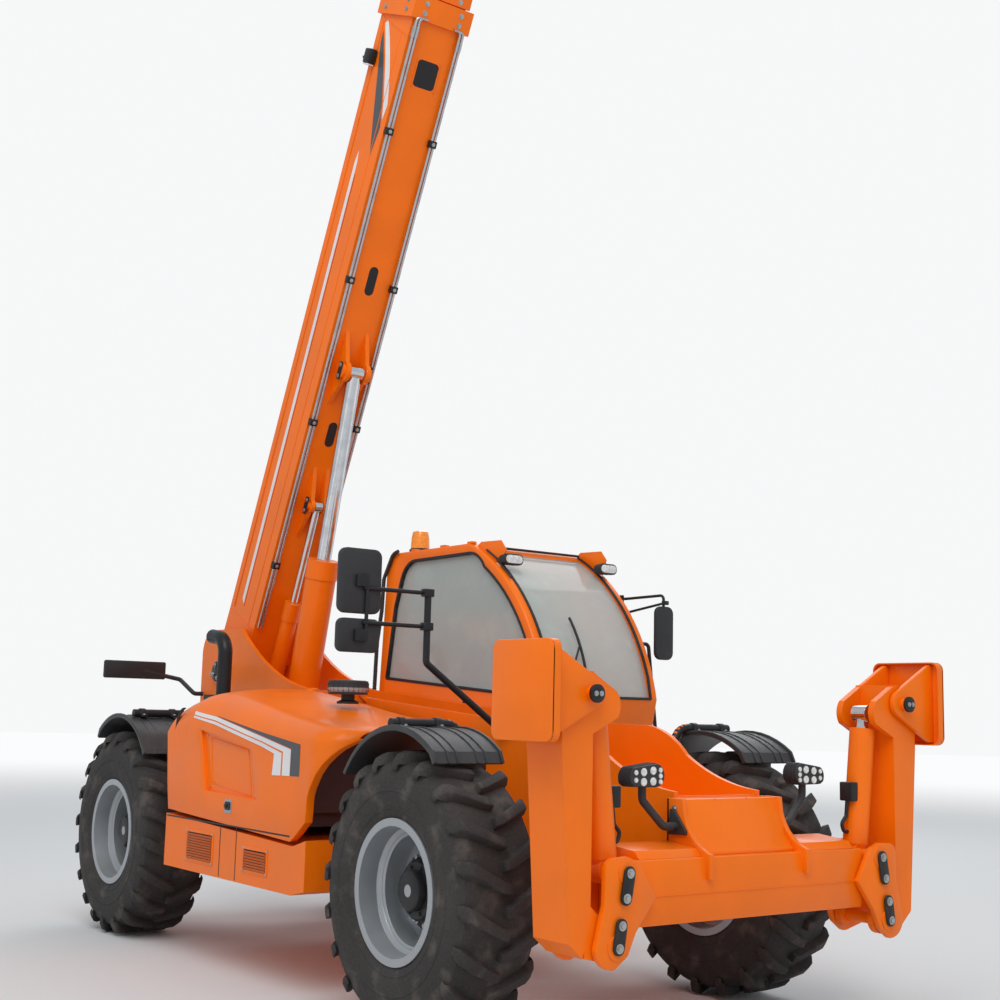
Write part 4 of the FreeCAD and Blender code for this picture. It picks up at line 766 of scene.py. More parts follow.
WHITE = Paint("White film", "orange_paint", (0.8, 0.8, 0.8), 0.35, edge=0.0, wear=0.0, dust=0.15)
GREY = Paint("Grey film", "orange_paint", (0.085, 0.09, 0.1), 0.35, edge=0.0, wear=0.0, dust=0.15)
MESH = Paint("Orange mesh", "orange_paint", (0.62, 0.13, 0.02), 0.5, edge=0.0, dust=0.3)


@dataclass(frozen=True)
class Studio:
    """The floor, the lights and the camera at the photograph's viewing angle."""

    eye: Point = (7.3028, -4.7634, 1.467)
    heading: float = 143.5155
    rise: float = 8.4997
    roll: float = 1.4134
    focal: float = 1413.21
    image: float = 1000.0
    sensor: float = 36.0
    floor_radius: float = 60.0
    floor_colour: Colour = (0.74, 0.74, 0.735)
    sky_colour: Colour = (0.93, 0.935, 0.94)

    def build(self) -> None:
        """Make the whole stage."""
        self.camera()
        self.floor()
        self.world()
        self.lamps()

    def camera(self) -> None:
        """Stand the camera where the photograph was taken from."""
        heading, rise, roll = (math.radians(v) for v in (self.heading, self.rise, self.roll))
        forward = Vector((math.cos(rise) * math.cos(heading), math.cos(rise) * math.sin(heading),
                math.sin(rise)))
        right = forward.cross(Vector((0, 0, 1))).normalized()
        up = right.cross(forward)
        across = right * math.cos(roll) + up * math.sin(roll)
        above = up * math.cos(roll) - right * math.sin(roll)
        data = bpy.data.cameras.new("Camera")
        data.sensor_width = self.sensor
        data.lens = self.focal / self.image * self.sensor
        item = bpy.data.objects.new("Camera", data)
        turn = Matrix((across, above, -forward)).transposed()
        where = located(self.eye)
        item.matrix_world = Matrix.Translation(where) @ turn.to_4x4()
        bpy.context.scene.collection.objects.link(item)
        bpy.context.scene.camera = item

    def floor(self) -> None:
        """Lay a plain pale floor that fades into the background."""
        mesh = bmesh.new()
        bmesh.ops.create_circle(mesh, cap_ends=True, segments=96, radius=self.floor_radius)
        data = bpy.data.meshes.new("Floor")
        mesh.to_mesh(data)
        mesh.free()
        made = bpy.data.materials.new("Floor")
        made.use_nodes = True
        n = Nodes(made.node_tree)
        shader = made.node_tree.nodes["Principled BSDF"]
        where = n.where()
        length = n.add("ShaderNodeVectorMath", operation="LENGTH")
        n.link(where, length.inputs[0])
        fade = n.band(length.outputs["Value"], 8.0, 30.0)
        n.link(n.mix(fade, self.floor_colour, (0.0, 0.0, 0.0)), shader.inputs["Base Color"])
        shader.inputs["Emission Color"].default_value = (*self.sky_colour, 1.0)
        n.link(fade, shader.inputs["Emission Strength"])
        shader.inputs["Roughness"].default_value = 0.85
        shader.inputs["Specular IOR Level"].default_value = 0.2
        data.materials.append(made)
        item = bpy.data.objects.new("Floor", data)
        bpy.context.scene.collection.objects.link(item)

    def world(self) -> None:
        """Surround the machine with even pale light."""
        world = bpy.data.worlds.new("Studio")
        bpy.context.scene.world = world
        world.use_nodes = True
        tree = world.node_tree
        tree.nodes.clear()
        n = Nodes(tree)
        path = n.add("ShaderNodeLightPath")
        seen = n.math("MAXIMUM", path.outputs["Is Camera Ray"], path.outputs["Is Transmission Ray"])
        dim = n.add("ShaderNodeBackground")
        dim.inputs[0].default_value = (0.9, 0.95, 1.0, 1.0)
        dim.inputs[1].default_value = 0.62
        bright = n.add("ShaderNodeBackground")
        bright.inputs[0].default_value = (*self.sky_colour, 1.0)
        mixer = n.add("ShaderNodeMixShader")
        n.link(seen, mixer.inputs[0])
        n.link(dim.outputs[0], mixer.inputs[1])
        n.link(bright.outputs[0], mixer.inputs[2])
        out = n.add("ShaderNodeOutputWorld")
        n.link(mixer.outputs[0], out.inputs[0])

    def lamps(self) -> None:
        """Hang a large soft key lamp and a weaker one on the other side."""
        for name, spot, size, power in (("Key", (7.0, -6.0, 12.0), 9.0, 900.0),
                ("Fill", (-6.0, 8.0, 9.0), 9.0, 350.0)):
            data = bpy.data.lights.new(name, "AREA")
            data.size = size
            data.energy = power
            item = bpy.data.objects.new(name, data)
            item.location = spot
            item.rotation_euler = (Vector((0, 0, 2)) - Vector(spot)).to_track_quat("-Z", "Y").to_euler()
            bpy.context.scene.collection.objects.link(item)


class Pattern(Enum):
    """Geometry Nodes trees that repeat a small form."""

    STUDS = "Studs on spots"
    BARS = "Row of bars"


def build_studs(g: Nodes, source: bpy.types.Node) -> bpy.types.NodeSocket:
    """Stand a round or many-sided stud with a washer on each spot, facing its stored direction.

    Args:
        g: The Geometry Nodes tree under construction.
        source: Its group input.

    Returns:
        The output that carries the instances.
    """
    head = g.add("GeometryNodeMeshCylinder")
    washer = g.add("GeometryNodeMeshCylinder")
    washer.inputs["Vertices"].default_value = 16
    g.link(source.outputs["Sides"], head.inputs["Vertices"])
    g.link(source.outputs["Radius"], head.inputs["Radius"])
    g.link(source.outputs["Height"], head.inputs["Depth"])
    g.link(g.math("MULTIPLY", source.outputs["Radius"], source.outputs["Washer"]), washer.inputs["Radius"])
    g.link(g.math("MULTIPLY", source.outputs["Height"], 0.3), washer.inputs["Depth"])
    lower = g.add("GeometryNodeTransform")
    drop = g.add("ShaderNodeCombineXYZ")
    g.link(g.math("MULTIPLY", source.outputs["Height"], -0.35), drop.inputs[2])
    g.link(washer.outputs["Mesh"], lower.inputs["Geometry"])
    g.link(drop.outputs[0], lower.inputs["Translation"])
    both = g.add("GeometryNodeJoinGeometry")
    g.link(head.outputs["Mesh"], both.inputs[0])
    g.link(lower.outputs[0], both.inputs[0])
    facing = g.add("GeometryNodeInputNamedAttribute", data_type="FLOAT_VECTOR")
    facing.inputs["Name"].default_value = "facing"
    turn = g.add("FunctionNodeAlignRotationToVector", axis="Z")
    g.link(facing.outputs["Attribute"], turn.inputs["Vector"])
    stand = g.add("GeometryNodeInstanceOnPoints")
    g.link(source.outputs["Geometry"], stand.inputs["Points"])
    g.link(both.outputs[0], stand.inputs["Instance"])
    g.link(turn.outputs[0], stand.inputs["Rotation"])
    return stand.outputs[0]


def build_bars(g: Nodes, source: bpy.types.Node) -> bpy.types.NodeSocket:
    """Set equal bars in a row.

    Args:
        g: The Geometry Nodes tree under construction.
        source: Its group input.

    Returns:
        The output that carries the instances.
    """
    line = g.add("GeometryNodeMeshLine")
    g.link(source.outputs["Count"], line.inputs["Count"])
    g.link(source.outputs["Start"], line.inputs["Start Location"])
    g.link(source.outputs["Step"], line.inputs["Offset"])
    bar = g.add("GeometryNodeMeshCube")
    g.link(source.outputs["Size"], bar.inputs["Size"])
    stand = g.add("GeometryNodeInstanceOnPoints")
    g.link(line.outputs[0], stand.inputs["Points"])
    g.link(bar.outputs["Mesh"], stand.inputs["Instance"])
    g.link(source.outputs["Turn"], stand.inputs["Rotation"])
    return stand.outputs[0]


PATTERNS = {Pattern.STUDS: (build_studs, {"Radius": "Float", "Height": "Float", "Washer": "Float",
            "Sides": "Int"}), Pattern.BARS: (build_bars, {"Start": "Vector", "Step": "Vector",
            "Size": "Vector", "Turn": "Rotation", "Count": "Int"}),}


def pattern_tree(kind: Pattern) -> bpy.types.NodeTree:
    """Give a pattern's tree, made once.

    Args:
        kind: Which pattern.

    Returns:
        The tree, which ends in realized instances with their material.
    """
    tree = bpy.data.node_groups.get(kind.value)
    if tree is not None:
        return tree
    tree = bpy.data.node_groups.new(kind.value, "GeometryNodeTree")
    build, inputs = PATTERNS[kind]
    tree.interface.new_socket(name="Geometry", in_out="INPUT", socket_type="NodeSocketGeometry")
    for name, sort in inputs.items():
        tree.interface.new_socket(name=name, in_out="INPUT", socket_type="NodeSocket" + sort)
    tree.interface.new_socket(name="Material", in_out="INPUT", socket_type="NodeSocketMaterial")
    tree.interface.new_socket(name="Geometry", in_out="OUTPUT", socket_type="NodeSocketGeometry")
    g = Nodes(tree)
    source, target = g.add("NodeGroupInput"), g.add("NodeGroupOutput")
    real = g.add("GeometryNodeRealizeInstances")
    g.link(build(g, source), real.inputs[0])
    dye = g.add("GeometryNodeSetMaterial")
    g.link(real.outputs[0], dye.inputs["Geometry"])
    g.link(source.outputs["Material"], dye.inputs["Material"])
    g.link(dye.outputs[0], target.inputs[0])
    return tree


def patterned(kind: Pattern, base: bpy.types.Mesh, values: dict[str, object], name: str, body: str,
        finish: Finish, move: Matrix | None = None) -> bpy.types.Object:
    """Run a pattern and keep its result as a plain mesh.

    Args:
        kind: Which pattern.
        base: Mesh that the tree starts from.
        values: Its named inputs.
        name: Name of the piece.
        body: Body that it moves with.
        finish: Its surface.
        move: Matrix from the pattern's own frame to the machine's.

    Returns:
        The new object.
    """
    holder = bpy.data.objects.new("pattern", base)
    bpy.context.scene.collection.objects.link(holder)
    modifier = holder.modifiers.new("pattern", "NODES")
    modifier.node_group = pattern_tree(kind)
    values = {**values, "Material": finish.material()}
    for socket in modifier.node_group.interface.items_tree:
        if socket.in_out == "INPUT" and socket.name in values:
            modifier[socket.identifier] = values[socket.name]
    bpy.context.view_layer.update()
    graph = bpy.context.evaluated_depsgraph_get()
    data = bpy.data.meshes.new_from_object(holder.evaluated_get(graph), depsgraph=graph)
    bpy.data.objects.remove(holder)
    if move is not None:
        data.transform(move)
    return present(data, name, body, finish)


def studs(name: str, body: str, finish: Finish, spots: Sequence[tuple[Point, Point]], radius: float,
        height: float, sides: int = 6, washer: float = 1.6, move: Matrix | None = None) -> bpy.types.Object:
    """Stand studs, bolts or lamps on spots.

    Args:
        name: Name of the piece.
        body: Body that it moves with.
        finish: Its surface.
        spots: Foot and direction of each, with X as a station.
        radius: Radius of a head.
        height: Height of a head.
        sides: Number of its sides.
        washer: Radius of the washer as a share of the head's.
        move: Matrix from the spots' frame to the machine's.

    Returns:
        The new object.
    """
    base = bpy.data.meshes.new("spots")
    facings = [Vector(direction).normalized() for _, direction in spots]
    base.from_pydata([located(foot) + f * (height / 2) for (foot, _), f in zip(spots, facings)], [], [])
    store = base.attributes.new("facing", "FLOAT_VECTOR", "POINT")
    store.data.foreach_set("vector", [c for f in facings for c in f])
    values = {"Radius": radius, "Height": height, "Washer": washer, "Sides": sides}
    return patterned(Pattern.STUDS, base, values, name, body, finish, move)


def bars(name: str, body: str, finish: Finish, start: Point, step: Point, count: int, size: Point,
        turn: Point) -> bpy.types.Object:
    """Set a row of equal bars.

    Args:
        name: Name of the piece.
        body: Body that it moves with.
        finish: Its surface.
        start: Middle of the first bar, with X as a station.
        step: Way from one bar to the next.
        count: Number of bars.
        size: Size of a bar.
        turn: Turn of each bar about the axes, in radians.

    Returns:
        The new object.
    """
    base = bpy.data.meshes.new("row")
    values = {"Start": tuple(located(start)), "Step": step, "Size": size, "Turn": turn, "Count": count}
    return patterned(Pattern.BARS, base, values, name, body, finish)


def arc(start: Flat, via: Flat, end: Flat, steps: int = 8) -> list[Flat]:
    """Give points along the circle through three points, both ends included.

    Args:
        start: First end.
        via: A point on the way.
        end: Last end.
        steps: Number of chords.

    Returns:
        The points.
    """
    (ax, ay), (bx, by), (cx, cy) = start, via, end
    d = 2 * (ax * (by - cy) + bx * (cy - ay) + cx * (ay - by))
    if abs(d) < 1e-12:
        return [start, end]
    a2, b2, c2 = ax * ax + ay * ay, bx * bx + by * by, cx * cx + cy * cy
    ux = (a2 * (by - cy) + b2 * (cy - ay) + c2 * (ay - by)) / d
    uy = (a2 * (cx - bx) + b2 * (ax - cx) + c2 * (bx - ax)) / d
    radius = math.hypot(ax - ux, ay - uy)
    first, middle, last = (math.atan2(y - uy, x - ux) for x, y in (start, via, end))
    sweep = (last - first) % math.tau
    if (middle - first) % math.tau > sweep:
        sweep -= math.tau
    return [(ux + radius * math.cos(first + sweep * k / steps),
            uy + radius * math.sin(first + sweep * k / steps)) for k in range(steps + 1)]


def rounded(low_a: float, high_a: float, low_b: float, high_b: float, radius: float,
        steps: int = 5) -> list[Flat]:
    """Give the outline of a rectangle with round corners."""
    outline = []
    for a, b, start in ((high_a - radius, low_b + radius, -90), (high_a - radius, high_b - radius, 0),
            (low_a + radius, high_b - radius, 90), (low_a + radius, low_b + radius, 180)):
        for k in range(steps + 1):
            t = math.radians(start + 90 * k / steps)
            outline.append((a + radius * math.cos(t), b + radius * math.sin(t)))
    return outline


def capsule(one: Flat, two: Flat, radius: float, steps: int = 8) -> list[Flat]:
    """Outline an oblong with round ends between two centres."""
    lead = math.atan2(two[1] - one[1], two[0] - one[0])
    points = []
    for centre, start in ((two, lead - math.pi / 2), (one, lead + math.pi / 2)):
        points += [(centre[0] + radius * math.cos(start + math.pi * k / steps),
                centre[1] + radius * math.sin(start + math.pi * k / steps)) for k in range(steps + 1)]
    return points


def flipped(outline: Sequence[Flat], first: bool = True) -> list[Flat]:
    """Give an outline with its first or second coordinate negated."""
    return [(-a, b) if first else (a, -b) for a, b in outline]


def ribbon(line: Sequence[Flat], width: float) -> list[Flat]:
    """Give the outline of a band of even width whose middle follows a line.

    Args:
        line: Points of the middle line.
        width: Width of the band.

    Returns:
        The band's outline.
    """
    sides: tuple[list[Flat], list[Flat]] = ([], [])
    for i, (a, b) in enumerate(line):
        before, after = line[max(i - 1, 0)], line[min(i + 1, len(line) - 1)]
        da, db = after[0] - before[0], after[1] - before[1]
        scale = width / 2 / math.hypot(da, db)
        sides[0].append((a - db * scale, b + da * scale))
        sides[1].append((a + db * scale, b - da * scale))
    return sides[0] + sides[1][::-1]


# Outlines as (station, height), or (side, height) for the head lamp, which is drawn on the right
RECESS = [(-0.486, 1.322), (0.18, 1.226), (0.266, 0.957), (-0.375, 0.97)]
VENT = arc((-0.838, 1.3), (-0.822, 1.398), (-0.708, 1.44), 10) + arc((-0.708, 1.44), (-0.79, 1.388),
    (-0.838, 1.3), 8)[1:-1]
HEAD_LAMP = [(-0.597, 1.16)] + arc((-0.458, 1.158), (-0.422, 1.206), (-0.464, 1.258), 8) + arc((-0.598, 1.24),
    (-0.622, 1.2), (-0.616, 1.172), 6)
DOORWAY = [(-0.6, 1.0), (-0.6, 2.455), (0.11, 2.455)] + arc((0.11, 2.455), (0.56, 2.075), (0.81, 1.56),
    20)[1:] + [(0.79, 1.3), (0.7, 1.0)]

# Front and rear faces of the front beam, the cab's sides, and the middles of the stabilisers' pins
BEAM_REAR, BEAM_FRONT = 2.605, 2.85
CAB_INNER, CAB_OUTER, CAB_ROOF = 0.29, 1.17, 2.5
UPPER_PIN, LOWER_PIN, PAD_PIN = (0.799, 0.828), (0.854, 0.536), (1.0, 1.548)

# The boom's pivot as (station, height) and its angle above level
PIVOT = (-2.12, 1.7)
BOOM_ANGLE = math.radians(65)


def boom_frame() -> Matrix:
    """Give the matrix from (along, across, up) of the boom, along as a station, to the machine's frame."""
    return (Matrix.Translation((station(PIVOT[0]), 0, PIVOT[1])) @ Matrix.Rotation(-BOOM_ANGLE, 4, "Y")
        @ Matrix.Translation((ORIGIN_STATION, 0, 0)))


def on_boom(shape: Shape) -> Shape:
    """Give a shape that was drawn along the boom, set in the machine's frame."""
    return Shape().add(shape, boom_frame())


@dataclass(frozen=True)
class Wheels:
    """Tyres with rounded forms, hubs, bolts and valves on the four wheels, and the fenders' fittings."""

    axle: float = 1.695
    side: float = 0.975
    height: float = 0.64
    lugs: int = 20
    radius: float = 0.64
    tread: float = 0.596
    lead: float = 0.106
    phase: float = 7.0

    def build(self) -> None:
        """Dress all four corners."""
        lugs = self.lug_ring()
        for end_name, end in (("front", 1), ("rear", -1)):
            for side_name, side in (("right", -1), ("left", 1)):
                corner = f"{end_name}_{side_name}"
                centre = (end * self.axle, side * self.side, self.height)
                self.tyre(corner, centre, lugs)
                self.hub(corner, centre, side)
                self.fender(corner, end, side)

    def lug(self) -> Shape:
        """Make one lug on the right half, at the top of a tyre whose axis is Y through the origin."""
        shape = Shape()
        mesh = shape.mesh
        # Level, share of the lead from the inner end, half the width at the foot and at the top, top radius
        rings = ((0.012, 0.5, 0.03, 0.021, 0.638), (-0.02, 0.42, 0.032, 0.023, 0.64),
            (-0.1, 0.05, 0.036, 0.026, 0.64), (-0.17, -0.32, 0.04, 0.03, 0.637),
            (-0.198, -0.46, 0.04, 0.03, 0.622), (-0.217, -0.55, 0.034, 0.026, 0.588),
            (-0.219, -0.6, 0.026, 0.02, 0.556))
        sections = []
        for level, share, foot, top, radius in rings:
            middle = share * self.lead
            base = min(radius - 0.012, self.tread - 0.02)
            row = []
            for across, reach in ((-foot, base), (-top, radius), (top, radius), (foot, base)):
                angle = (middle + across) / self.radius
                row.append(mesh.verts.new((reach * math.sin(angle), level, reach * math.cos(angle))))
            sections.append(row)
        for one, two in zip(sections, sections[1:]):
            for k in range(3):
                mesh.faces.new((one[k], one[k + 1], two[k + 1], two[k]))
            mesh.faces.new((one[3], one[0], two[0], two[3]))
        mesh.faces.new(sections[0][::-1])
        mesh.faces.new(sections[-1])
        bmesh.ops.recalc_face_normals(mesh, faces=mesh.faces)
        edges = [e for e in mesh.edges if e.calc_face_angle(0) > math.radians(35)]
        bmesh.ops.bevel(mesh, geom=edges, offset=0.005, segments=2, profile=0.5, affect="EDGES",
            clamp_overlap=True)
        return shape

    def lug_ring(self) -> Shape:
        """Give all the lugs of one tyre round the origin."""
        one, ring = self.lug(), Shape()
        pitch = math.tau / self.lugs
        lowest = math.radians(self.phase)
        for k in range(self.lugs):
            ring.add(one, Matrix.Rotation(k * pitch + lowest, 4, "Y"))
            ring.add(one, Matrix.Rotation((k + 0.5) * pitch + lowest, 4, "Y")
                @ Matrix.Scale(-1, 4, (0, 1, 0)))
        return ring

    def tyre(self, corner: str, centre: Point, lugs: Shape) -> None:
        """Make a round carcass with its lugs, in place of the plainer solid."""
        half = [(-0.18, 0.318), (-0.196, 0.338), (-0.207, 0.38), (-0.216, 0.43), (-0.2175, 0.48),
            (-0.212, 0.535), (-0.196, 0.572), (-0.16, 0.592), (-0.08, 0.598), (0.0, self.tread + 0.004)]
        profile = half + [(-level, radius) for level, radius in half[-2::-1]]
        shape = Shape().lathe(profile + profile[:1], centre, Axis.Y, 96)
        # Two ribs on each wall, where the mould parts and the rim protects
        for level, radius in ((-0.2165, 0.455), (-0.2035, 0.372)):
            for sign in (1, -1):
                ring = [(sign * level, radius - 0.006), (sign * (level - 0.004), radius),
                    (sign * level, radius + 0.006), (sign * (level + 0.01), radius)]
                shape.lathe(ring + ring[:1], centre, Axis.Y, 96)
        shape.add(lugs, Matrix.Translation(located(centre)))
        item = shape.finish(f"{corner}_tyre_tread", f"{corner}_wheel", TYRE, smooth=35.0)
        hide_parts(f"{corner}_tyre")

    def hub(self, corner: str, centre: Point, side: int) -> None:
        """Cover the hub in black and set its bolts, the rim's nuts and the valve."""
        body = f"{corner}_wheel"
        outward = Vector((0, side, 0))
        profile = [(-0.031, 0.0), (-0.031, 0.187), (0.0015, 0.187), (0.0015, 0.142), (0.05, 0.142),
            (0.06, 0.138), (0.0715, 0.127), (0.0715, 0.094), (0.1, 0.094), (0.112, 0.088), (0.1165, 0.078),
            (0.1165, 0.03), (0.1135, 0.026), (0.1135, 0.0)]
        Shape().lathe(profile, centre, outward, 48).finish(f"{corner}_hub_cover", body, BLACK, smooth=30.0)

        def circle(count: int, radius: float, level: float, shift: float = 0.0) -> list[tuple[Point, Point]]:
            """Give spots on a circle round the hub, facing outwards."""
            spots = []
            for k in range(count):
                t = math.tau * (k + shift) / count
                spots.append(((centre[0] + radius * math.cos(t), centre[1] + side * level,
                            centre[2] + radius * math.sin(t)), tuple(outward)))
            return spots

        studs(f"{corner}_wheel_nuts", body, BOLT, circle(12, 0.164, 0.0015), 0.0135, 0.02)
        studs(f"{corner}_hub_bolts", body, BLACK, circle(8, 0.11, 0.0715, 0.5), 0.008, 0.009, washer=1.4)
        valve = Shape().tube([(centre[0], centre[1] + side * 0.02, centre[2] + 0.246),
                (centre[0], centre[1] + side * 0.085, centre[2] + 0.272)], 0.0055, 0, 8)
        valve.tube([(centre[0], centre[1] + side * 0.08, centre[2] + 0.27),
                (centre[0], centre[1] + side * 0.1, centre[2] + 0.278)], 0.008, 0, 8)
        valve.finish(f"{corner}_valve", body, PLASTIC)

    def fender(self, corner: str, end: int, side: int) -> None:
        """Add the fender's ridges, its folded edges and the clamps on its black tube."""
        body = f"{corner}_knuckle"
        line = [(-0.462, 0.508), (-0.44, 0.5395)] + arc((-0.44, 0.5395), (-0.095, 0.7385), (0.2925, 0.6415),
            14)[1:] + [(0.317, 0.59)]
        path = [(end * (self.axle + a), self.height + b) for a, b in line]
        shape = Shape()
        for across, width, depth in ((0.797, 0.014, 0.016), (1.174, 0.014, 0.022), (0.885, 0.012, 0.009),
                (0.935, 0.012, 0.009), (1.045, 0.012, 0.009), (1.095, 0.012, 0.009)):
            shape.slab(Plane.SIDE, ribbon(path, depth), side, across - width / 2, across + width / 2, 0.002)
        shape.finish(f"{corner}_fender_ridges", body, FENDER)
        rail_x, rail_z = end * (self.axle - 0.138), self.height + 0.7583
        rail = Shape().tube([(rail_x, side * 0.72, self.height + 0.225), (rail_x, side * 0.72, rail_z),
                (rail_x, side * 1.127, rail_z)], 0.0248, 0.09, 20)
        rail.finish(f"{corner}_fender_tube", body, BLACK)
        clamps, spots = Shape(), []
        for across in (0.862, 1.07):
            low, high = sorted((side * (across - 0.019), side * (across + 0.019)))
            arch = [(-0.055, -0.024), (-0.055, -0.01), (-0.034, -0.008)]
            arch += arc((-0.031, 0.0), (0.0, 0.031), (0.031, 0.0), 10)
            arch += [(0.034, -0.008), (0.055, -0.01), (0.055, -0.024)]
            arch = [(rail_x + a, rail_z + b) for a, b in arch]
            clamps.prism(Plane.SIDE, arch, low, high, 0.002)
            spots += [((rail_x + dx, side * across, rail_z - 0.01), (0, 0, 1)) for dx in (-0.045, 0.045)]
        clamps.finish(f"{corner}_tube_clamps", body, BLACK)
        studs(f"{corner}_clamp_bolts", body, BOLT, spots, 0.008, 0.008)


@dataclass(frozen=True)
class Hood:
    """The recessed mesh panel, the latch and the vent of the engine hood, and the box below it."""

    side: float = -1.15

    def build(self) -> None:
        """Dress the hood and the lower box."""
        self.recess()
        self.fittings()
        self.lower_box()

    def recess(self) -> None:
        """Set a framed panel of mesh in the hood's recess."""
        floor = self.side + 0.025
        frame = Shape()
        inner = [(-0.371, 1.27), (0.102, 1.22), (0.167, 0.976), (-0.332, 1.026)]
        for k in range(4):
            m = (k + 1) % 4
            frame.prism(Plane.SIDE, ribbon([inner[k], inner[m]], 0.013), floor - 0.006, floor + 0.001, 0.002)
            line = [(a * 0.985 - 0.0015, (b - 1.12) * 0.975 + 1.12) for a, b in (RECESS[k], RECESS[m])]
            frame.prism(Plane.SIDE, ribbon(line, 0.012), floor - 0.005, floor + 0.001, 0.002)
        frame.finish("hood_recess_frame", "hood", ORANGE)
        panel = Shape().prism(Plane.SIDE, inner, floor - 0.002, floor - 0.0005)
        panel.finish("hood_mesh_panel", "hood", MESH)
        studs("hood_recess_bolts", "hood", BOLT, [((x, floor, z), (0, -1, 0))
                for x, z in ((-0.425, 1.286), (0.145, 1.222), (0.216, 0.985), (-0.352, 0.998))], 0.008, 0.006)

    def fittings(self) -> None:
        """Add the latch on its plate, the crescent vent's mesh as a near-black sheet of painted shade, and
        the hinge leaves.
        """
        plate = Shape().prism(Plane.SIDE, rounded(-0.108, -0.022, 0.868, 0.945, 0.008), self.side - 0.004,
            self.side)
        plate.finish("hood_latch_plate", "hood", SILVER)
        latch = Shape().prism(Plane.SIDE, rounded(-0.094, -0.036, 0.885, 0.93, 0.01), self.side - 0.01,
            self.side)
        latch.prism(Plane.SIDE, rounded(-0.09, -0.06, 0.896, 0.919, 0.009), self.side - 0.018,
            self.side - 0.01, 0.003)
        latch.finish("hood_latch", "hood", BLACK)
        # A plain near-black sheet in the cut vent stands for its mesh and for the painted shade of the hood's
        # inside behind it
        Shape().prism(Plane.SIDE, VENT, self.side + 0.004, self.side + 0.007).finish("hood_vent_mesh", "hood",
            GRILLE_SHADE)
        hinge = Shape()
        for along in (-0.65, -0.13):
            hinge.box((along, -0.4, 1.553), (along + 0.09, -0.33, 1.56), 0.002)
        hinge.finish("hood_hinge_leaves", "hood", BLACK)

    def lower_box(self) -> None:
        """Set two slatted grilles over near-black backings of painted shade, with screws, and the seams of
        the lower box.
        """
        screws = []
        for number, (low_x, high_x, low_z, high_z) in enumerate(((-0.585, -0.23, 0.56, 0.747),
                (0.142, 0.43, 0.568, 0.712))):
            Shape().prism(Plane.SIDE, rounded(low_x, high_x, low_z, high_z, 0.014), self.side - 0.004,
                self.side + 0.002, 0.0015).finish(f"box_grille_{number + 1}_frame", "chassis", ORANGE)
            # Near-black backing behind the slats: painted shade of the box's inside
            Shape().prism(Plane.SIDE, rounded(low_x + 0.018, high_x - 0.018, low_z + 0.018, high_z - 0.018,
                    0.006), self.side - 0.0048, self.side).finish(f"box_grille_{number + 1}_dark", "chassis",
                GRILLE_SHADE)
            count = int((high_z - low_z - 0.04) / 0.0145)
            bars(f"box_grille_{number + 1}_slats", "chassis", MESH,
                ((low_x + high_x) / 2, self.side - 0.0075, low_z + 0.026), (0, 0, 0.0145), count,
                (high_x - low_x - 0.036, 0.004, 0.0115), (math.radians(24), 0.0, 0.0))
            screws += [((x, self.side - 0.004, z), (0, -1, 0)) for x in (low_x + 0.009, high_x - 0.009)
                for z in (low_z + 0.012, high_z - 0.012)]
        studs("box_grille_screws", "chassis", BOLT, screws, 0.0055, 0.004, 12)
        trim = Shape()
        trim.box((-0.88, self.side - 0.003, 0.796), (0.66, self.side + 0.004, 0.804), 0.001)
        for along in (-0.15, 0.05):
            trim.box((along, self.side - 0.0015, 0.515), (along + 0.006, self.side + 0.002, 0.797))
        trim.finish("box_seams", "chassis", SEAL)


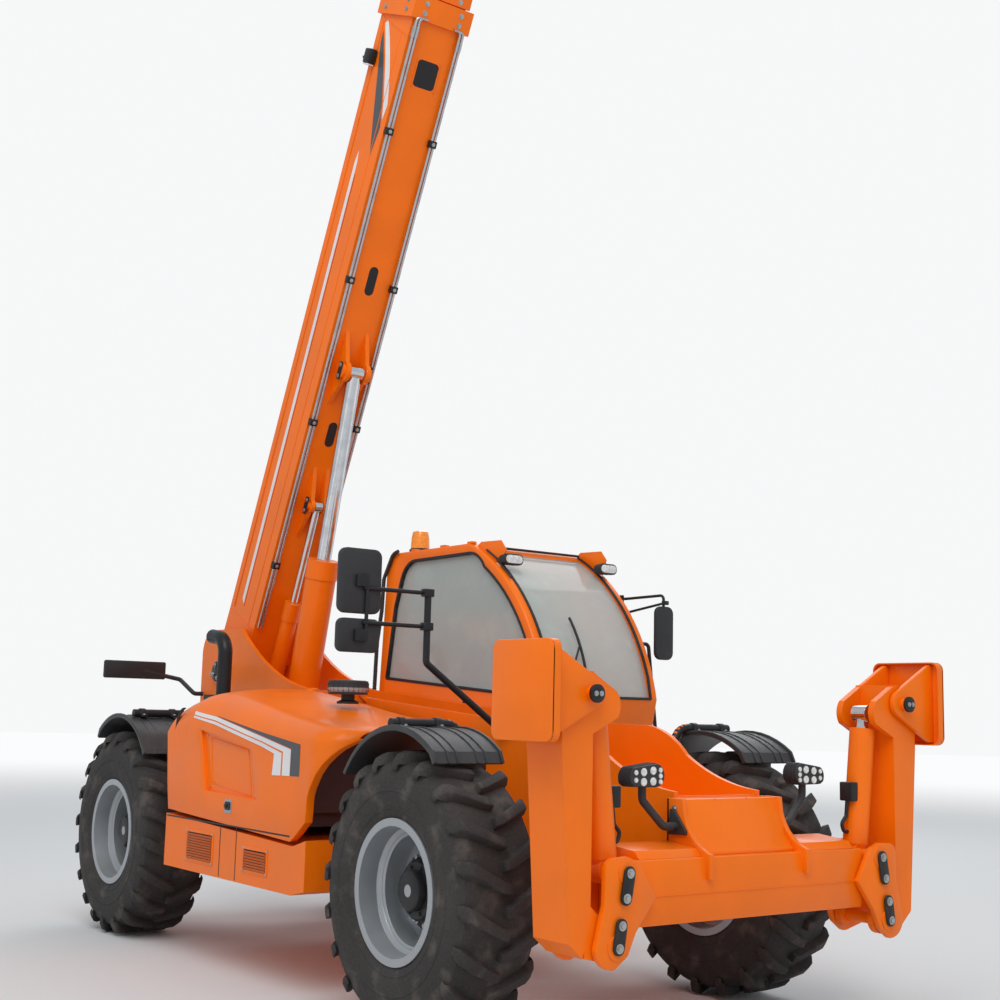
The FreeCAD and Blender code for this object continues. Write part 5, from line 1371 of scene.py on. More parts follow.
@dataclass(frozen=True)
class Boom:
    """Livery bands, pipe fittings, keepers, weld lines and the work lamp of the boom."""

    side: float = 0.2
    depth: float = 0.215

    def build(self) -> None:
        """Dress every section."""
        self.bands()
        self.ridges()
        self.pipes()
        self.fittings()
        self.collars()

    def film(self, name: str, body: str, outline: Sequence[Flat], finish: Finish, lift: float = 0.0) -> None:
        """Lay a film on both sides of the base section."""
        shape = Shape()
        level = self.side + 0.0006 + lift
        shape.prism(Plane.SIDE, outline, level - 0.0008, level)
        shape.prism(Plane.SIDE, outline, -level, -level + 0.0008)
        on_boom(shape).finish(name, body, finish)

    def bands(self) -> None:
        """Lay the pale band with its red line along the boom and the grey sweeps near its collar."""
        self.film("boom_pale_band", "boom", [(0.52, 0.028), (3.72, 0.028), (3.8, 0.046), (3.72, 0.064),
                (0.55, 0.064)], WHITE)
        self.film("boom_red_line", "boom", [(0.51, 0.01), (3.64, 0.01), (3.64, 0.019), (0.51, 0.019)],
            RED_FILM)
        sweep = arc((3.78, -0.12), (4.1, -0.01), (4.52, 0.13), 10)
        back = arc((4.6, 0.13), (4.26, -0.045), (3.98, -0.16), 10)
        self.film("boom_grey_sweep", "boom", sweep + back, GREY)
        sweep = arc((4.03, -0.16), (4.3, -0.05), (4.64, 0.13), 10)
        back = arc((4.67, 0.1), (4.36, -0.085), (4.13, -0.18), 10)
        self.film("boom_white_sweep", "boom", sweep + back, WHITE, 0.0002)

    def ridges(self) -> None:
        """Run the pressed ridges and the weld seams along the base section's sides."""
        shape = Shape()
        for side in (-1, 1):
            shape.slab(Plane.SIDE, [(0.45, 0.15), (4.62, 0.15), (4.66, 0.158), (4.62, 0.166), (0.45, 0.166)],
                side, self.side - 0.001, self.side + 0.006, 0.003)
            for line, width in (([(0.42, -0.118), (4.6, -0.118)], 0.006),
                    ([(4.58, -0.205), (4.69, 0.205)], 0.007), ([(0.42, -0.205), (0.42, 0.205)], 0.008)):
                shape.slab(Plane.SIDE, ribbon(line, width), side, self.side - 0.001, self.side + 0.0025,
                    0.001)
        on_boom(shape).finish("boom_seams", "boom", ORANGE)

    def pipes(self) -> None:
        """Add clamps, unions and curved ends to the pipes under the boom's lower edges."""
        clamps, spots, unions = Shape(), [], Shape()
        under = -self.depth - 0.024
        for side in (-1, 1):
            for along in (0.9, 1.95, 2.95, 3.95):
                clamps.slab(Plane.SIDE, [(along - 0.004, under - 0.014), (along + 0.044, under - 0.014),
                        (along + 0.044, under + 0.026), (along - 0.004, under + 0.026)], side, 0.143, 0.197,
                    0.004)
                spots.append(((along + 0.02, side * 0.17, under - 0.014), (0, 0, -1)))
            for across in (0.158, 0.182):
                end = 4.6
                unions.tube([(end - 0.02, side * across, under), (end + 0.05, side * across, under)], 0.014,
                    0, 6)
                unions.tube([(end + 0.02, side * across, under), (end + 0.11, side * across, under),
                        (end + 0.11, side * (across - 0.055), under - 0.005)], 0.009, 0.03, 12)
        on_boom(clamps).finish("pipe_clamps", "boom", BLACK)
        on_boom(unions).finish("pipe_unions", "boom", PIPE)
        studs("pipe_clamp_bolts", "boom", BOLT, spots, 0.008, 0.007, move=boom_frame())

    def fittings(self) -> None:
        """Add the keepers at the pins, the window below the collar filled black as painted shade of the
        boom's inside, the work lamp and the camera.
        """
        black, spots = Shape(), []
        for along, below, reach in ((2.37, 0.31, 0.112), (1.394, 0.285, 0.086)):
            for side in (-1, 1):
                black.slab(Plane.SIDE, rounded(along - 0.062, along + 0.062, -below - 0.021, -below + 0.021,
                        0.012), side, reach, reach + 0.008, 0.002)
                spots += [((along + dx, side * (reach + 0.008), -below), (0, side, 0))
                    for dx in (-0.038, 0.038)]
        # The window is a flush black sheet: painted shade of the hollow boom's inside
        window = rounded(4.295, 4.47, -0.082, 0.082, 0.03)
        black.prism(Plane.PLAN, window, -self.depth - 0.0012, -self.depth + 0.001)
        for low_x, high_x in ((1.81, 1.987), (2.892, 3.09)):
            black.prism(Plane.PLAN, rounded(low_x, high_x, -0.034, 0.034, 0.033), -self.depth - 0.0012,
                -self.depth + 0.001)
        black.box((4.36, -0.262, 0.12), (4.46, -0.203, 0.205), 0.012)
        black.tube([(4.4, -0.232, 0.19), (4.4, -0.232, 0.25)], 0.01, 0)
        black.box((4.1, 0.203, 0.13), (4.17, 0.255, 0.2), 0.01)
        on_boom(black).finish("boom_black_fittings", "boom", BLACK)
        studs("boom_pin_bolts", "boom", BOLT, spots, 0.01, 0.009, move=boom_frame())
        lens = Shape().prism(Plane.FRONT, rounded(-0.258, -0.207, 0.126, 0.199, 0.01), 4.352, 4.3605)
        on_boom(lens).finish("boom_lamp_lens", "boom", LENS)
        frame = Shape()
        for a in (-0.086, 0.086):
            frame.prism(Plane.PLAN, rounded(4.285, 4.48, a - 0.005, a + 0.005, 0.004), -self.depth - 0.004,
                -self.depth)
        on_boom(frame).finish("boom_window_frame", "boom", ORANGE)

    def collars(self) -> None:
        """Set the paired bolts that hold the slide pads in each collar."""
        for index, (body, front) in enumerate((("boom", 4.85), ("section_2", 4.98), ("section_3", 5.11))):
            shrink = index * 0.027
            side, depth = self.side - shrink + 0.022, self.depth - shrink + 0.022
            spots = []
            middle = front - (0.075 if index == 0 else 0.06)
            for along in (middle - 0.03, middle + 0.03):
                for share in (-0.6, 0.6):
                    spots += [((along, sign * side, share * depth), (0, sign, 0)) for sign in (-1, 1)]
                    spots += [((along, share * side, sign * depth), (0, 0, sign)) for sign in (-1, 1)]
            studs(f"{body}_collar_bolts", body, BOLT, spots, 0.011, 0.008, move=boom_frame())


@dataclass(frozen=True)
class Cab:
    """Seals, trims, lamps, wipers, mirrors and the driver's place."""

    inner: float = CAB_INNER
    outer: float = CAB_OUTER
    roof: float = CAB_ROOF

    def build(self) -> None:
        """Dress the cab."""
        self.seals()
        self.screen()
        self.roof_fittings()
        self.mirrors()
        self.furniture()
        self.left_side()

    def right_window(self, inset: float) -> list[Flat]:
        """Give the right window's outline, moved inwards by an inset."""
        outline = [(-0.758, 1.665), (-0.68, 2.135), (-0.612, 2.32)]
        outline += arc((-0.612, 2.32), (-0.56, 2.395), (-0.45, 2.434), 6)[1:]
        outline += [(0.17, 2.44)] + arc((0.17, 2.44), (0.262, 2.412), (0.328, 2.343), 6)[1:]
        outline += arc((0.328, 2.343), (0.619, 2.091), (0.773, 1.858), 10)[1:]
        outline += [(0.65, 1.61)] + arc((0.65, 1.61), (0.6, 1.58), (0.5, 1.574), 5)[1:]
        middle = (sum(a for a, _ in outline) / len(outline), sum(b for _, b in outline) / len(outline))
        result = []
        for a, b in outline:
            away = Vector((a - middle[0], b - middle[1]))
            moved = away - away.normalized() * inset
            result.append((middle[0] + moved[0], middle[1] + moved[1]))
        return result

    def seals(self) -> None:
        """Seal and shade the right window, bolt the side below it and run the ribbed hose behind it."""
        level = self.inner
        seal = Shape()
        outline = self.right_window(0.004)
        for k in range(len(outline)):
            seal.prism(Plane.SIDE, ribbon([outline[k], outline[(k + 1) % len(outline)]], 0.017),
                level - 0.004, level + 0.024, 0.001)
        seal.finish("right_window_seal", "chassis", SEAL)
        shade = [p for p in self.right_window(0.012) if p[1] > 1.98]
        Shape().prism(Plane.SIDE, shade, level + 0.032, level + 0.0335).finish("window_shade", "chassis",
            SHADE)
        spots = [((x, level, z), (0, -1, 0)) for x, z in ((-0.7, 1.56), (-0.3, 1.515), (0.15, 1.515),
                (0.56, 1.5), (0.78, 1.56))]
        studs("cab_side_bolts", "chassis", BLACK, spots, 0.009, 0.006)
        hose = Shape().tube([(-0.64, 0.275, 2.505), (-0.7, 0.275, 2.49), (-0.8, 0.272, 2.33),
                (-0.812, 0.272, 2.12), (-0.858, 0.272, 1.9), (-0.87, 0.272, 1.59), (-0.88, 0.272, 1.4)],
            0.013, 0.08, 12)
        rings = Shape()
        route = [(-0.8, 2.33), (-0.812, 2.12), (-0.858, 1.9), (-0.87, 1.59)]
        for (ax, az), (bx, bz) in zip(route, route[1:]):
            count = int(math.hypot(bx - ax, bz - az) / 0.016)
            for k in range(count):
                t = (k + 0.5) / count
                direction = Vector((bx - ax, 0, bz - az))
                rings.lathe([(-0.003, 0.0), (-0.003, 0.0152), (0.003, 0.0152), (0.003, 0.0)],
                    (ax + (bx - ax) * t, 0.272, az + (bz - az) * t), direction, 10)
        hose.add(rings)
        hose.finish("cab_hose", "chassis", PLASTIC)

    def screen(self) -> None:
        """Frame the windscreen and set two wipers on it."""
        low, high = self.inner + 0.06, self.outer - 0.06
        curve = [(0.235, 2.468)] + arc((0.276, 2.446), (0.655, 2.143), (0.914, 1.69), 16) + [(0.94, 1.56)]
        seal = Shape()
        for across in (low, high):
            seal.prism(Plane.SIDE, ribbon(curve, 0.01), across - 0.008, across + 0.008, 0.001)
        seal.tube([(0.938, low, 1.562), (0.938, high, 1.562)], 0.008, 0, 8)
        seal.tube([(0.238, low, 2.478), (0.238, high, 2.478)], 0.008, 0, 8)
        seal.finish("screen_seals", "chassis", SEAL)
        wiper = Shape()
        wiper.tube([(0.955, 0.4, 1.5), (0.972, 0.42, 1.56), (0.862, 0.61, 1.86)], 0.006, 0.02, 8)
        blade = arc((0.93, 1.68), (0.862, 1.868), (0.76, 2.03), 10)
        wiper.prism(Plane.SIDE, ribbon(blade, 0.016), 0.606, 0.616, 0.002)
        wiper.lathe([(0.0, 0.0), (0.0, 0.018), (0.016, 0.014), (0.016, 0.0)], (0.945, 0.4, 1.495), Axis.X, 16)
        wiper.tube([(0.3, 0.322, 2.45), (0.4, 0.322, 2.392), (0.56, 0.322, 2.262)], 0.006, 0.02, 8)
        wiper.finish("wipers", "chassis", PLASTIC)

    def roof_fittings(self) -> None:
        """Face the roof lamps, colour the beacon and add the tabs along the roof's edge."""
        lenses, rims = Shape(), Shape()
        for across in (0.384, 1.14):
            lenses.prism(Plane.FRONT, rounded(across - 0.062, across + 0.062, 2.355, 2.405, 0.024), 0.5,
                0.509, 0.003)
            rims.prism(Plane.FRONT, rounded(across - 0.072, across + 0.072, 2.346, 2.414, 0.031), 0.47, 0.503,
                0.004)
        lenses.finish("roof_lamp_lenses", "chassis", LENS)
        rims.finish("roof_lamp_rims", "chassis", PLASTIC)
        beacon = Shape().lathe([(0.037, 0.0), (0.037, 0.064), (0.11, 0.06), (0.15, 0.052), (0.1575, 0.03),
                (0.1585, 0.0)], (-0.64, 0.45, self.roof), Axis.Z, 32)
        beacon.finish("beacon_lens", "chassis", AMBER)
        tabs = Shape()
        for along in (-0.52, -0.18, 0.12):
            tabs.box((along, self.inner + 0.01, self.roof - 0.004),
                (along + 0.05, self.inner + 0.05, self.roof + 0.012), 0.003)
        tabs.box((-0.64, self.inner + 0.12, self.roof - 0.001), (0.08, self.outer - 0.12, self.roof + 0.004),
            0.002)
        tabs.finish("roof_tabs", "chassis", ORANGE)

    def mirrors(self) -> None:
        """Give the mirrors their housings, glass, clamps and the bars between the heads."""
        glass, housing, clamps = Shape(), Shape(), Shape()
        for low, high, depth in ((1.925, 2.245, 0.04), (1.735, 1.9, 0.034)):
            glass.prism(Plane.FRONT, rounded(-1.29, -1.073, low + 0.01, high - 0.01, depth - 0.006), 1.2885,
                1.2905)
            housing.prism(Plane.FRONT, rounded(-1.3005, -1.0625, low - 0.0005, high + 0.0005, depth), 1.2915,
                1.3305, 0.008)
            clamps.box((1.322, -1.215, (low + high) / 2 - 0.03), (1.352, -1.15, (low + high) / 2 + 0.03),
                0.004)
        clamps.tube([(1.338, -1.15, 1.8), (1.338, -1.15, 2.12)], 0.01, 0, 10)
        for height in (2.05, 1.88):
            clamps.box((1.322, -0.825, height - 0.02), (1.368, -0.77, height + 0.02), 0.004)
        glass.prism(Plane.FRONT, rounded(1.184, 1.31, 1.811, 2.122, 0.04), 0.8835, 0.8855)
        housing.prism(Plane.FRONT, rounded(1.1755, 1.3185, 1.8025, 2.1305, 0.045), 0.8865, 0.9155, 0.007)
        clamps.box((0.905, 1.225, 2.14), (0.925, 1.27, 2.165), 0.003)
        glass.finish("mirror_glass", "chassis", MIRROR)
        housing.finish("mirror_housings", "chassis", PLASTIC)
        clamps.finish("mirror_clamps", "chassis", BLACK)
        foot = Shape().box((1.3, -0.3, 1.345), (1.39, -0.282, 1.425), 0.003)
        foot.finish("mirror_foot", "chassis", BLACK)
        studs("mirror_foot_bolts", "chassis", BOLT, [((x, -0.3, z), (0, -1, 0)) for x in (1.312, 1.378)
                for z in (1.358, 1.412)], 0.007, 0.006)

    def furniture(self) -> None:
        """Shape the seat's cushions, the console and the steering wheel."""
        middle = (self.inner + self.outer) / 2
        floor = 1.005
        seat = Shape()
        seat.prism(Plane.SIDE, [(-0.56, floor + 0.255), (-0.04, floor + 0.255), (0.004, floor + 0.33),
                (-0.02, floor + 0.395), (-0.47, floor + 0.4)], middle - 0.245, middle + 0.245, 0.035, 4)
        seat.prism(Plane.SIDE, [(-0.59, floor + 0.33), (-0.46, floor + 0.35), (-0.545, floor + 0.955),
                (-0.69, floor + 0.945)], middle - 0.245, middle + 0.245, 0.035, 4)
        for side in (-1, 1):
            low, high = sorted((middle + side * 0.17, middle + side * 0.262))
            seat.prism(Plane.SIDE, [(-0.56, floor + 0.4), (-0.43, floor + 0.42), (-0.5, floor + 0.85),
                    (-0.58, floor + 0.85)], low, high, 0.028, 4)
        seat.prism(Plane.SIDE, [(-0.695, floor + 0.97), (-0.585, floor + 0.97), (-0.6, floor + 1.125),
                (-0.692, floor + 1.125)], middle - 0.125, middle + 0.125, 0.03, 4)
        seat.finish("seat_cushions", "chassis", SEAT)
        turn = Matrix.Translation((station(0.4), middle, floor + 0.668)) @ Matrix.Rotation(math.radians(-35),
            4, "Y")
        ring = [(0.017 * math.sin(math.tau * k / 8), 0.191 + 0.017 * math.cos(math.tau * k / 8))
            for k in range(9)]
        wheel = Shape().lathe(ring, (ORIGIN_STATION, 0, 0), Axis.Z, 48)
        for angle in (90, 210, 330):
            t = math.radians(angle)
            wheel.tube([(ORIGIN_STATION, 0, -0.02), (ORIGIN_STATION + 0.185 * math.cos(t),
                        0.185 * math.sin(t), 0.0)], 0.011, 0, 8)
        wheel.lathe([(-0.04, 0.0), (-0.04, 0.03), (-0.005, 0.05), (0.005, 0.045), (0.008, 0.0)],
            (ORIGIN_STATION, 0, 0), Axis.Z, 24)
        Shape().add(wheel, turn).finish("steering_wheel_grip", "chassis", PLASTIC)
        console = Shape()
        console.prism(Plane.SIDE, [(-0.42, floor + 0.2), (0.06, floor + 0.2), (0.08, floor + 0.48),
                (-0.02, floor + 0.53), (-0.42, floor + 0.5)], self.inner + 0.06, self.inner + 0.19, 0.02)
        console.tube([(0.02, self.inner + 0.125, floor + 0.5), (0.035, self.inner + 0.125, floor + 0.64)],
            0.009)
        console.lathe([(0.0, 0.0), (0.0, 0.018), (0.03, 0.026), (0.065, 0.022), (0.075, 0.0)],
            (0.035, self.inner + 0.125, floor + 0.63), Axis.Z, 20)
        console.box((0.52, middle - 0.15, floor + 0.54), (0.66, middle + 0.15, floor + 0.64), 0.02)
        console.finish("cab_console", "chassis", TRIM)
        trim = Shape()
        trim.box((-0.56, self.inner + 0.05, self.roof - 0.075), (0.06, self.outer - 0.05, self.roof - 0.052),
            0.006)
        trim.finish("roof_lining", "chassis", TRIM)

    def left_side(self) -> None:
        """Give the door its handle, the cab a grab rail, the steps their treads and the tank its cap."""
        level = self.outer
        handle = Shape().tube([(0.56, level + 0.002, 1.42), (0.56, level + 0.04, 1.42),
                (0.56, level + 0.04, 1.28), (0.56, level + 0.002, 1.28)], 0.01, 0.02)
        handle.box((0.53, level, 1.44), (0.59, level + 0.016, 1.5), 0.005)
        handle.finish("door_handle", "door", BLACK)
        rail = Shape().tube([(0.8, level - 0.006, 1.9), (0.8, level + 0.045, 1.9), (0.88, level + 0.045, 1.3),
                (0.88, level - 0.006, 1.3)], 0.012, 0.03)
        rail.finish("grab_rail", "chassis", BLACK)
        treads, spots = Shape(), []
        for low in (0.567, 0.737):
            treads.box((-0.248, level - 0.198, low), (0.248, level - 0.012, low + 0.006))
            spots += [((-0.22 + 0.055 * k, level - 0.05 - 0.05 * m, low + 0.006), (0, 0, 1))
                for k in range(9) for m in range(3)]
        treads.finish("step_treads", "chassis", BLACK)
        studs("step_studs", "chassis", BOLT, spots, 0.008, 0.004, 10, 1.0)
        cap = Shape().lathe([(0.0, 0.0), (0.0, 0.052), (0.022, 0.052), (0.03, 0.044), (0.03, 0.0)],
            (-0.65, level - 0.021, 0.8), Axis.Y, 24)
        cap.finish("tank_cap", "chassis", PLASTIC)


@dataclass(frozen=True)
class Front:
    """The front beam's keepers and bolts, the head lamps' faces, and the stabilisers' fittings."""

    beam_rear: float = BEAM_REAR
    beam_front: float = BEAM_FRONT

    def build(self) -> None:
        """Dress the front of the machine."""
        for side in (-1, 1):
            self.head_lamp(side)
            self.stabiliser(side)
        self.beam()

    def head_lamp(self, side: int) -> None:
        """Face a head lamp with a ribbed housing and a group of nine round lamps."""
        name = "right" if side < 0 else "left"
        front = self.beam_rear + 0.085
        outline = HEAD_LAMP if side < 0 else flipped(HEAD_LAMP)
        Shape().prism(Plane.FRONT, outline, self.beam_rear + 0.07, front + 0.006,
            0.005).finish(f"{name}_head_lamp_rim", "chassis", PLASTIC)
        fins = Shape()
        for k in range(6):
            back = self.beam_rear + 0.01 + 0.011 * k
            middle = (-0.52 if side < 0 else 0.52, 1.204)
            grown = [(middle[0] + (a - middle[0]) * 1.03, middle[1] + (b - middle[1]) * 1.05)
                for a, b in outline]
            fins.prism(Plane.FRONT, grown, back, back + 0.005)
        fins.finish(f"{name}_head_lamp_fins", "chassis", PLASTIC)
        large = [(front + 0.006, side * across, height) for across, height in ((0.492, 1.228), (0.547, 1.222),
                (0.492, 1.182), (0.547, 1.18))]
        small = [(front + 0.006, side * across, height) for across, height in ((0.449, 1.205), (0.449, 1.18),
                (0.449, 1.23), (0.592, 1.22), (0.592, 1.188))]
        for size, spots, radius in (("large", large, 0.015), ("small", small, 0.0095)):
            studs(f"{name}_head_lamp_{size}", "chassis", LENS, [(spot, (1, 0, 0)) for spot in spots], radius,
                0.004, 24, 1.18)

    def stabiliser(self, side: int) -> None:
        """Add keepers, a pin cap, bolts and the valve block with its bent pipe to one stabiliser."""
        name = "right" if side < 0 else "left"
        front = self.beam_front
        keeper, spots = Shape(), []
        for pin, bolt in ((UPPER_PIN, (0.817, 0.73)), (LOWER_PIN, (0.84, 0.624))):
            ends = [(side * across, height) for across, height in (pin, bolt)]
            keeper.prism(Plane.FRONT, capsule(*ends, 0.029), front + 0.0365, front + 0.048, 0.003)
            spots += [((front + 0.048, *end), (1, 0, 0)) for end in ends]
        keeper.finish(f"{name}_beam_keepers", "chassis", BLACK)
        studs(f"{name}_beam_keeper_bolts", "chassis", BOLT, spots, 0.0125, 0.01)
        cap = front + 0.0525
        caps = Shape().lathe([(0.0, 0.0), (0.0, 0.038), (0.012, 0.038), (0.017, 0.031), (0.017, 0.0)],
            (cap, side * PAD_PIN[0], PAD_PIN[1]), Axis.X, 28)
        caps.finish(f"{name}_leg_pin_caps", f"{name}_leg", BLACK)
        studs(f"{name}_leg_cap_bolts", f"{name}_leg", BOLT, [((cap + 0.017, side * (PAD_PIN[0] + across),
                    PAD_PIN[1]), (1, 0, 0)) for across in (-0.014, 0.014)], 0.007, 0.006)
        near, far = sorted((side * 0.736, side * 0.786))
        block = Shape().box((2.69, near, 1.08), (2.765, far, 1.17), 0.006)
        block.tube([(2.726, side * 0.752, 1.085), (2.726, side * 0.742, 1.01), (2.726, side * 0.708, 0.975),
                (2.726, side * 0.722, 0.935), (2.726, side * 0.79, 0.935)], 0.009, 0.022, 12)
        block.finish(f"{name}_valve_block", f"{name}_jack_barrel", BLACK)

    def beam(self) -> None:
        """Bolt the cover's sides and mark the seams of the cover and the beam."""
        spots = []
        for along, height in ((2.7, 1.06), (2.7, 0.965)):
            spots += [((along - 0.05, side * 0.3215, height), (0, side, 0)) for side in (-1, 1)]
        studs("beam_cover_bolts", "chassis", BOLT, spots, 0.009, 0.007)
        seams = Shape()
        for across in (-0.1, 0.1):
            seams.box((2.68, across - 0.002, 1.098), (2.683, across + 0.002, 1.104))
        seams.prism(Plane.FRONT, ribbon([(-0.7, 0.722), (0.7, 0.722)], 0.006), self.beam_front - 0.001,
            self.beam_front + 0.002, 0.001)
        seams.finish("beam_seam", "chassis", ORANGE)


@dataclass(frozen=True)
class Frame:
    """The pivot's keepers, the frame's seams, the pre-cleaner, the rear lenses and the head pin's caps."""

    plate: float = 0.275

    def build(self) -> None:
        """Dress the frame, the rear board and the carriage."""
        self.pivot()
        self.air_cleaner()
        self.rear_board()
        self.carriage()

    def pivot(self) -> None:
        """Add the pivot's caps and keepers with their bolts, and the weld lines along the plates."""
        black, spots = Shape(), []
        for side in (-1, 1):
            black.lathe([(0.0, 0.0), (0.0, 0.078), (0.014, 0.078), (0.02, 0.07), (0.02, 0.0)],
                (PIVOT[0], side * self.plate, PIVOT[1]), Vector((0, side, 0)), 32)
            black.slab(Plane.SIDE, rounded(-2.235, -2.085, 1.664, 1.704, 0.012), side, self.plate,
                self.plate + 0.01, 0.002)
            spots += [((x, side * (self.plate + 0.01), 1.684), (0, side, 0)) for x in (-2.218, -2.19)]
            spots += [((PIVOT[0] + 0.05 * math.cos(t), side * (self.plate + 0.02),
                        PIVOT[1] + 0.05 * math.sin(t)), (0, side, 0)) for t in (math.tau * k / 4 + 0.4
                    for k in range(4))]
        black.finish("pivot_keepers", "chassis", BLACK)
        studs("pivot_bolts", "chassis", BOLT, spots, 0.01, 0.009)
        seam = Shape()
        for side in (-1, 1):
            line = [(-2.39, 1.01), (-1.25, 1.01), (-0.9, 0.94), (1.15, 0.94)]
            seam.slab(Plane.SIDE, ribbon(line, 0.007), side, self.plate - 0.001, self.plate + 0.003, 0.001)
        seam.finish("frame_seams", "chassis", ORANGE)

    def air_cleaner(self) -> None:
        """Give the pre-cleaner a clear bowl, a ribbed rim and a plain cap."""
        foot = 1.474
        centre = (0.33, -0.64, foot)
        bowl = Shape().lathe([(0.079, 0.0), (0.079, 0.1085), (0.093, 0.1165), (0.128, 0.113), (0.1375, 0.09),
                (0.1375, 0.0)], centre, Axis.Z, 40)
        bowl.finish("cleaner_bowl", "hood", CLEAR)
        cap = Shape().lathe([(0.128, 0.0), (0.128, 0.1145), (0.1405, 0.112), (0.1445, 0.098), (0.147, 0.03),
                (0.147, 0.0)], centre, Axis.Z, 40)
        cap.lathe([(0.066, 0.0), (0.066, 0.11), (0.079, 0.1125), (0.079, 0.0)], centre, Axis.Z, 40)
        cap.finish("cleaner_cap", "hood", PLASTIC)
        fins = Shape()
        for k in range(24):
            t = math.tau * k / 24
            fins.tube([(centre[0] + 0.114 * math.cos(t), centre[1] + 0.114 * math.sin(t), foot + 0.082),
                    (centre[0] + 0.1145 * math.cos(t), centre[1] + 0.1145 * math.sin(t), foot + 0.13)],
                0.0022, 0, 6)
        fins.finish("cleaner_fins", "hood", PLASTIC)

    def rear_board(self) -> None:
        """Set the lenses on the rear lamp board."""
        for name, low, high, finish in (("red", -0.985, -0.86, RED), ("amber", -0.85, -0.76, AMBER),
                ("white", -0.69, -0.6, LENS)):
            Shape().prism(Plane.FRONT, rounded(low, high, 1.655, 1.742, 0.012), -2.4705, -2.4615,
                0.004).finish(f"rear_{name}_lens", "chassis", finish)

    def carriage(self) -> None:
        """Cap the carriage's pin on both sides."""
        head = boom_frame() @ Vector((6.08 - ORIGIN_STATION, 0, -0.43))
        caps = Shape()
        for side in (-1, 1):
            caps.lathe([(0.0, 0.0), (0.0, 0.052), (0.012, 0.052), (0.018, 0.044), (0.018, 0.0)],
                (head.x + ORIGIN_STATION, side * 0.118, head.z), Vector((0, side, 0)), 28)
        caps.finish("head_pin_caps", "section_4", BLACK)


def modified(shape: Shape, steps: Sequence[tuple[str, dict[str, object]]]) -> Shape:
    """Run modifiers on a shape and give the result.

    Args:
        shape: The shape; it is used up.
        steps: Each modifier's type and settings; a Shape among the settings becomes an object.

    Returns:
        The finished shape.
    """
    scene = bpy.context.scene.collection.objects
    helpers = []

    def holder(source: Shape) -> bpy.types.Object:
        """Give a passing object that holds a shape."""
        data = bpy.data.meshes.new("holder")
        source.mesh.to_mesh(data)
        source.mesh.free()
        item = bpy.data.objects.new("holder", data)
        scene.link(item)
        helpers.append(item)
        return item

    item = holder(shape)
    for kind, settings in steps:
        step = item.modifiers.new(kind, kind)
        for key, value in settings.items():
            setattr(step, key, holder(value) if isinstance(value, Shape) else value)
    bpy.context.view_layer.update()
    graph = bpy.context.evaluated_depsgraph_get()
    data = bpy.data.meshes.new_from_object(item.evaluated_get(graph), depsgraph=graph)
    result = Shape()
    result.mesh.from_mesh(data)
    bpy.data.meshes.remove(data)
    for helper in helpers:
        bpy.data.objects.remove(helper)
    return result


def between(table: Sequence[Flat], at: float) -> float:
    """Read a table of (place, value) at a place, straight between its rows and held at its ends."""
    for (a, low), (b, high) in zip(table, table[1:]):
        if at <= b:
            return low + (high - low) * max(0.0, at - a) / (b - a)
    return table[-1][1]


